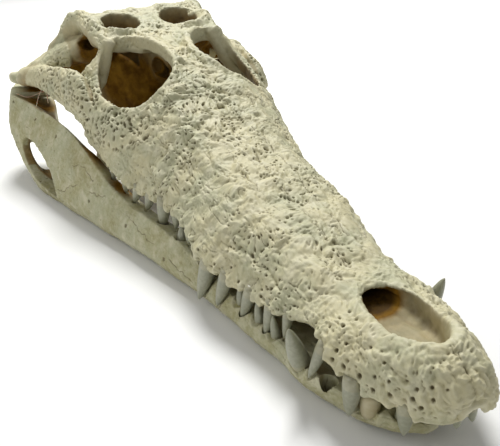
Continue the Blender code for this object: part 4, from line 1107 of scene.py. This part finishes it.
class SkullColours(bpy.types.PropertyGroup):
    """Colours of the bone and teeth."""
    ivory: colour_prop("Ivory", "Main colour of the cranium's bone", "#c0b993")
    # the pale bone is also the painted highlight on the ridges
    pale: colour_prop("Pale bone", "Bleached bone on the ridges", "#d3ceb2")
    olive: colour_prop("Olive bone", "Grey-green cast of the older bone", "#abab8a")
    jaw: colour_prop("Jaw bone", "Main colour of the lower jaw", "#9d986c")
    # this colour is both the dirt and the painted shade in the pits, holes and hollows
    dirt_and_shade: colour_prop("Dirt and shade", "What has settled in the pits", "#564827")
    stain: colour_prop("Stain", "Brown of the stained inner bone", "#5c3d0c")
    ochre: colour_prop("Ochre stain", "Paler patches in the stained bone", "#8f6b22")
    # the dark and black stains are painted shade in deep recesses and holes
    dark_stain_and_shade: colour_prop("Dark stain and shade", "Bone where its stain is deep", "#30210a")
    black_stain_and_shade: colour_prop("Black stain and shade", "Bone where its stain is deepest", "#120a03")
    tooth: colour_prop("Tooth", "Enamel of the crowns", "#8f9079")
    root: colour_prop("Tooth root", "Dentine at the foot of the crowns", "#b9ad86")
    fibre: colour_prop("Fibre", "Dried fibres at the jaw joint", "#c08e74")


class StageLook(bpy.types.PropertyGroup):
    """The studio."""
    floor: colour_prop("Floor", "Colour of the plain floor", "#f2f2f0")
    key: bpy.props.FloatProperty(
        name="Key light", description="Power of the large soft light overhead", default=27.0,
        min=0.0, subtype="POWER", unit="POWER")
    surround: colour_prop("Surround", "Colour of the pale surround", "#ffffff")
    ambient: bpy.props.FloatProperty(
        name="Surround light", description="Strength of the pale surround", default=0.33, min=0.0,
        max=5.0, subtype="FACTOR")


# ---- materials ----

def add(tree, kind, inputs=None, **settings):
    """Add a node with its settings; an input's value is a number, a colour or a socket to link."""
    node = tree.nodes.new(kind)
    for name, value in settings.items():
        setattr(node, name, value)
    for name, value in (inputs or {}).items():
        if isinstance(value, bpy.types.NodeSocket):
            tree.links.new(value, node.inputs[name])
        else:
            node.inputs[name].default_value = value
    return node


def opaque(colour):
    """A colour setting as the four numbers that a socket takes."""
    return (*colour, 1.0)


def principled(name):
    """A new material, its node tree and its shader."""
    material = bpy.data.materials.new(name)
    material.use_nodes = True
    return material, material.node_tree, material.node_tree.nodes["Principled BSDF"]


def painted(tree, colour, layers):
    """A colour under layers of others. The share of each layer goes from first to last as its
    value goes from low to high."""
    for value, low, high, first, last, layer in layers:
        share = add(tree, "ShaderNodeMapRange", {"Value": value, "From Min": low, "From Max": high,
                                                 "To Min": first, "To Max": last})
        colour = add(tree, "ShaderNodeMix", {0: share.outputs["Result"], 6: colour, 7: layer},
                     data_type="RGBA").outputs[2]
    return colour


def bone_material(name, base, colours, pores):
    """Dry bone, cleaned and bleached: matt, cream with grey-green clouds, with a painted highlight
    on the ridges, olive brown dirt and painted shade in its pits, and stained from ochre to brown
    inside, with painted shade from dark brown to nearly black in deep recesses and holes.
    It has this many fine pores to the metre."""
    material, tree, shader = principled(name)
    place = add(tree, "ShaderNodeTexCoord").outputs["Object"]
    marks = add(tree, "ShaderNodeAttribute", attribute_name="marks").outputs["Color"]
    hollow, stained_and_shaded, raised = add(tree, "ShaderNodeSeparateColor", {"Color": marks}).outputs
    # clouds 28 mm across, blotches of 9 mm and mottling of 3 mm
    clouds, blotch, mottle = [
        add(tree, "ShaderNodeTexNoise", {"Vector": place, "Scale": 1 / size, "Detail": 4.0,
                                         "Roughness": 0.6}).outputs["Fac"]
        for size in (0.028, 0.009, 0.003)]
    brown = painted(tree, opaque(colours.stain),
                    [(blotch, 0.36, 0.70, 0.0, 1.0, opaque(colours.ochre))])
    # where the stain and painted shade are deepest, the edge of the nearly black painted shade
    # follows the mottling
    ragged = add(tree, "ShaderNodeMath", {0: mottle, 1: stained_and_shaded}, operation="ADD").outputs[0]
    colour = painted(tree, opaque(base), (
        (clouds, 0.42, 0.60, 0.0, 0.90, opaque(colours.olive)),
        (blotch, 0.50, 0.70, 0.0, 0.55, opaque(colours.pale)),
        (mottle, 0.42, 0.70, 0.0, 0.35, opaque(colours.pale)),
        # a painted highlight on the ridges
        (raised, 0.00, 1.00, 0.0, 0.50, opaque(colours.pale)),
        # dirt and painted shade in the pits and hollows
        (hollow, 0.12, 0.95, 0.0, 0.78, opaque(colours.dirt_and_shade)),
        # brown stain, then dark brown and nearly black painted shade in the deep recesses and holes
        (stained_and_shaded, 0.05, 0.90, 0.0, 1.00, brown),
        (stained_and_shaded, 1.00, 1.35, 0.0, 0.82, opaque(colours.dark_stain_and_shade)),
        (ragged, 2.00, 2.30, 0.0, 0.92, opaque(colours.black_stain_and_shade))))
    tree.links.new(colour, shader.inputs["Base Color"])
    dull = add(tree, "ShaderNodeMapRange", {"Value": mottle, "From Min": 0.3, "From Max": 0.7,
                                            "To Min": 0.50, "To Max": 0.68}).outputs["Result"]
    tree.links.new(dull, shader.inputs["Roughness"])
    shader.inputs["IOR"].default_value = 1.5
    # stained bone soaks up the light, clean bone has a faint sheen
    sheen = add(tree, "ShaderNodeMapRange", {"Value": stained_and_shaded, "From Max": 0.8, "To Min": 0.35,
                                             "To Max": 0.05}).outputs["Result"]
    tree.links.new(sheen, shader.inputs["Specular IOR Level"])
    # pores of half a millimetre to two thirds of one, as fine as the render can show
    depth = add(tree, "ShaderNodeTexNoise", {"Vector": place, "Scale": pores, "Detail": 3.0,
                                             "Roughness": 0.65}).outputs["Fac"]
    bump = add(tree, "ShaderNodeBump", {"Height": depth, "Strength": 0.35, "Distance": 0.0004})
    tree.links.new(bump.outputs["Normal"], shader.inputs["Normal"])
    return material


def tooth_material(colours):
    """Enamel over dentine, grown in a cone: smooth, slightly clear, grey-white at the tip and
    creamier at its foot, with faint lines along it."""
    material, tree, shader = principled("tooth enamel over dentine")
    marks = add(tree, "ShaderNodeAttribute", attribute_name="marks").outputs["Color"]
    along = add(tree, "ShaderNodeSeparateColor", {"Color": marks}).outputs["Red"]
    place = add(tree, "ShaderNodeTexCoord").outputs["Object"]
    # mottling of 2 mm
    mottle = add(tree, "ShaderNodeTexNoise", {"Vector": place, "Scale": 1 / 0.002,
                                              "Detail": 2.0}).outputs["Fac"]
    colour = painted(tree, opaque(colours.tooth), (
        (along, 0.02, 0.07, 0.90, 0.00, opaque(colours.root)),
        (mottle, 0.40, 0.70, 0.00, 0.20, opaque(colours.pale))))
    tree.links.new(colour, shader.inputs["Base Color"])
    gloss = add(tree, "ShaderNodeMapRange", {"Value": mottle, "To Min": 0.28, "To Max": 0.42})
    tree.links.new(gloss.outputs["Result"], shader.inputs["Roughness"])
    shader.inputs["IOR"].default_value = 1.62
    shader.inputs["Subsurface Weight"].default_value = 0.2
    shader.inputs["Subsurface Radius"].default_value = (1.0, 0.85, 0.65)
    shader.inputs["Subsurface Scale"].default_value = 0.0012
    bump = add(tree, "ShaderNodeBump", {"Height": mottle, "Strength": 0.15, "Distance": 0.0003})
    tree.links.new(bump.outputs["Normal"], shader.inputs["Normal"])
    return material


def fibre_material(colours):
    """Dried sinew, shrunk to threads: pinkish tan, slightly glossy and translucent."""
    material, tree, shader = principled("dried sinew")
    place = add(tree, "ShaderNodeTexCoord").outputs["Object"]
    # flecks of 3 mm along the threads
    tone = add(tree, "ShaderNodeTexNoise", {"Vector": place, "Scale": 300.0}).outputs["Fac"]
    colour = add(tree, "ShaderNodeMix", {0: tone, 6: opaque(colours.fibre),
                                         7: opaque(colours.pale)}, data_type="RGBA").outputs[2]
    tree.links.new(colour, shader.inputs["Base Color"])
    shader.inputs["Roughness"].default_value = 0.45
    shader.inputs["Subsurface Weight"].default_value = 0.3
    shader.inputs["Subsurface Scale"].default_value = 0.0008
    return material


def plain_material(name, colour):
    """Seamless paper, rolled and unglazed: even and quite matt."""
    material, _, shader = principled(name)
    shader.inputs["Base Color"].default_value = opaque(colour)
    shader.inputs["Roughness"].default_value = 0.95
    return material


# ---- operators ----

def photo_camera():
    """The photograph's camera. Its axes are worked out for the level skull: ahead from EYE to AIM,
    right level, and both right and up rolled about ahead. Then it is tipped with the skull."""
    data = bpy.data.cameras.new("camera")
    camera = bpy.data.objects.new("camera", data)
    ahead = (Vector(AIM) - Vector(EYE)).normalized()
    right = ahead.cross(Vector((0, 0, 1))).normalized()
    up = right.cross(ahead)
    right, up = (math.cos(ROLL) * right + math.sin(ROLL) * up,
                 math.cos(ROLL) * up - math.sin(ROLL) * right)
    level = Matrix((right, up, -ahead)).transposed().to_4x4()
    level.translation = Vector(EYE) * DCL
    tip = Matrix.Translation((0.0, REAR, LIFT)) @ Matrix.Rotation(PITCH, 4, "X")
    camera.matrix_world = tip @ level
    data.sensor_width, data.lens = SENSOR, FOCAL * SENSOR / PICTURE
    data.clip_start, data.clip_end = 0.01, 50.0
    return camera


class SKULL_OT_cranium(bpy.types.Operator):
    """Build the bone of the cranium in pieces that meet along one skin."""
    bl_idname = "skull.cranium"
    bl_label = "Cranium"

    def execute(self, context):
        scene = context.scene
        points, faces = cranium_body(scene.skull_sizes.grain)
        points, faces, normal, hollow, raised, inside = finished_bone(
            points, faces, cranium_relief, cranium_skin, scene.skull_sizes)
        stained_and_shaded = stains_and_shade_at(points / DCL, inside)
        marks = np.column_stack((hollow, stained_and_shaded, raised))
        c = scene.skull_colours
        material = bone_material("dry bleached skull bone, pitted", c.ivory, c, 1900.0)
        centre = points[faces].mean(1) / DCL
        left = centre[:, 0] > 0
        bands = np.searchsorted((0.20, 0.42, 0.62, 0.80, 0.92), centre[:, 1])
        names = ("muzzle", "snout", "brow", "eye", "table", "occiput")
        for band, place in enumerate(names):
            for side, word in ((left, "left"), (~left, "right")):
                dress(f"bone_{place}_{word}", points, faces[side & (bands == band)], normal,
                      marks, material, "cranium")
        return {"FINISHED"}


class SKULL_OT_jaw(bpy.types.Operator):
    """Build the two halves of the lower jaw."""
    bl_idname = "skull.jaw"
    bl_label = "Lower jaw"

    def execute(self, context):
        scene = context.scene
        body, triangles = ramus_body(scene.skull_sizes.grain)
        c = scene.skull_colours
        material = bone_material("dry bleached jaw bone, smooth", c.jaw, c, 1500.0)
        points, faces, normal, hollow, raised, inside = finished_bone(
            body, triangles, jaw_relief, jaw_skin, scene.skull_sizes)
        # a little of the stains comes through to the outer side
        stained_and_shaded = stains_and_shade_at(points / DCL, np.maximum(inside, 0.12))
        marks = np.column_stack((hollow, stained_and_shaded, raised))
        # nothing goes below the floor
        world = placed(points)
        world[:, 2] = np.maximum(world[:, 2], 0.0)
        points = (world - (0.0, REAR, LIFT)) @ turned(np.eye(3)).T
        bands = np.searchsorted((0.58, 0.88), points[faces].mean(1)[:, 1] / DCL)
        for word, flip in (("left", 1), ("right", -1)):
            turn = faces if flip > 0 else faces[:, ::-1]
            for band, place in enumerate(("front", "middle", "rear")):
                dress(f"jaw_{place}_{word}", points * (flip, 1, 1), turn[bands == band],
                      normal * (flip, 1, 1), marks, material, f"mandible_{word}")
        return {"FINISHED"}


class SKULL_OT_teeth(bpy.types.Operator):
    """Build the crowns of all the teeth."""
    bl_idname = "skull.teeth"
    bl_label = "Teeth"

    def execute(self, context):
        material = tooth_material(context.scene.skull_colours)
        for name, upper, sides, node, slot in (
                ("upper_teeth", True, (1, -1), "cranium", "pitted_bone"),
                ("lower_teeth_left", False, (1,), "mandible_left", "jaw_bone"),
                ("lower_teeth_right", False, (-1,), "mandible_right", "jaw_bone")):
            parts, shares = [], []
            for tooth in zip(*tooth_places(upper)):
                rings = tooth_rings(*tooth)
                points, faces = closed(rings)
                along = np.concatenate(((0, 0), np.linspace(0, 1, len(rings) - 2)))
                share = np.concatenate((np.repeat(along, rings.shape[1]), (0, 1)))
                # a worn crown is dentine all over, and the others are mostly enamel to the foot
                share = share * 0 if tooth[-1] else np.maximum(share, CROWN_FOOT)
                for side in sides:
                    turn = faces if side > 0 else faces[:, ::-1]
                    parts.append((points * (side, 1, 1), turn))
                    shares.append(share)
            points, faces = join(parts)
            share = np.concatenate(shares)
            marks = np.column_stack((share, share * 0, share * 0))
            dress(name, points * DCL, faces, None, marks, material, node)
        return {"FINISHED"}


class SKULL_OT_fibres(bpy.types.Operator):
    """Build the dried fibres that still cross the right jaw joint."""
    bl_idname = "skull.fibres"
    bl_label = "Fibres"

    def execute(self, context):
        scene = context.scene
        thick = 0.5 * scene.skull_sizes.fibre / DCL
        threads = [closed(bar_rings([(*stop, thick, thick) for stop in path], sides=8, parts=5))
                   for path in FIBRES]
        points, faces = join(threads)
        marks = np.zeros((len(points), 3))
        dress("joint_fibres", points * DCL, faces, None, marks,
              fibre_material(scene.skull_colours), None)
        return {"FINISHED"}


class SKULL_OT_stage(bpy.types.Operator):
    """Build the floor, the soft lights, the pale surround and the camera."""
    bl_idname = "skull.stage"
    bl_label = "Studio"

    def execute(self, context):
        look = context.scene.skull_stage
        corners = FLOOR_REACH * np.array([(-1, -1, 0), (1, -1, 0), (1, 1, 0), (-1, 1, 0)])
        floor = put("studio_floor", corners, np.array([(0, 1, 2), (0, 2, 3)]))
        floor.data.materials.append(plain_material("pale paper, unglazed", look.floor))
        world = bpy.data.worlds.new("surround")
        world.use_nodes = True
        background = world.node_tree.nodes["Background"]
        background.inputs["Color"].default_value = opaque(look.surround)
        background.inputs["Strength"].default_value = look.ambient
        context.scene.world = world
        for name, place, size, share in LAMPS:
            lamp = bpy.data.lights.new(name, "AREA")
            lamp.shape, lamp.size, lamp.energy = "DISK", size, share * look.key
            made = bpy.data.objects.new(name, lamp)
            made.location = place
            made.rotation_euler = (-Vector(place)).to_track_quat("-Z", "Y").to_euler()
            context.scene.collection.objects.link(made)
        camera = photo_camera()
        context.scene.collection.objects.link(camera)
        bpy.context.scene.camera = camera
        bpy.context.scene.view_settings.view_transform = "Standard"
        return {"FINISHED"}


class SKULL_PT_panel(bpy.types.Panel):
    """Lists the pieces and their settings."""
    bl_idname = "SKULL_PT_panel"
    bl_label = "Crocodile skull"
    bl_space_type = "VIEW_3D"
    bl_region_type = "UI"
    bl_category = "Skull"

    def draw(self, context):
        for group in (context.scene.skull_sizes, context.scene.skull_colours,
                      context.scene.skull_stage):
            for name in group.__annotations__:
                self.layout.prop(group, name)
        for step in STEPS:
            self.layout.operator(step.bl_idname)


STEPS = (SKULL_OT_cranium, SKULL_OT_jaw, SKULL_OT_teeth, SKULL_OT_fibres, SKULL_OT_stage)
CLASSES = (SkullSizes, SkullColours, StageLook) + STEPS + (SKULL_PT_panel,)


def register():
    for item in CLASSES:
        bpy.utils.register_class(item)
    bpy.types.Scene.skull_sizes = bpy.props.PointerProperty(type=SkullSizes)
    bpy.types.Scene.skull_colours = bpy.props.PointerProperty(type=SkullColours)
    bpy.types.Scene.skull_stage = bpy.props.PointerProperty(type=StageLook)


def unregister():
    for name in ("skull_sizes", "skull_colours", "skull_stage"):
        delattr(bpy.types.Scene, name)
    for item in reversed(CLASSES):
        bpy.utils.unregister_class(item)


def main():
    """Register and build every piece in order."""
    register()
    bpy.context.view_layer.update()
    for step in STEPS:
        group, name = step.bl_idname.split(".")
        getattr(getattr(bpy.ops, group), name)()
    bpy.context.view_layer.update()


if __name__ == "__main__":
    main()
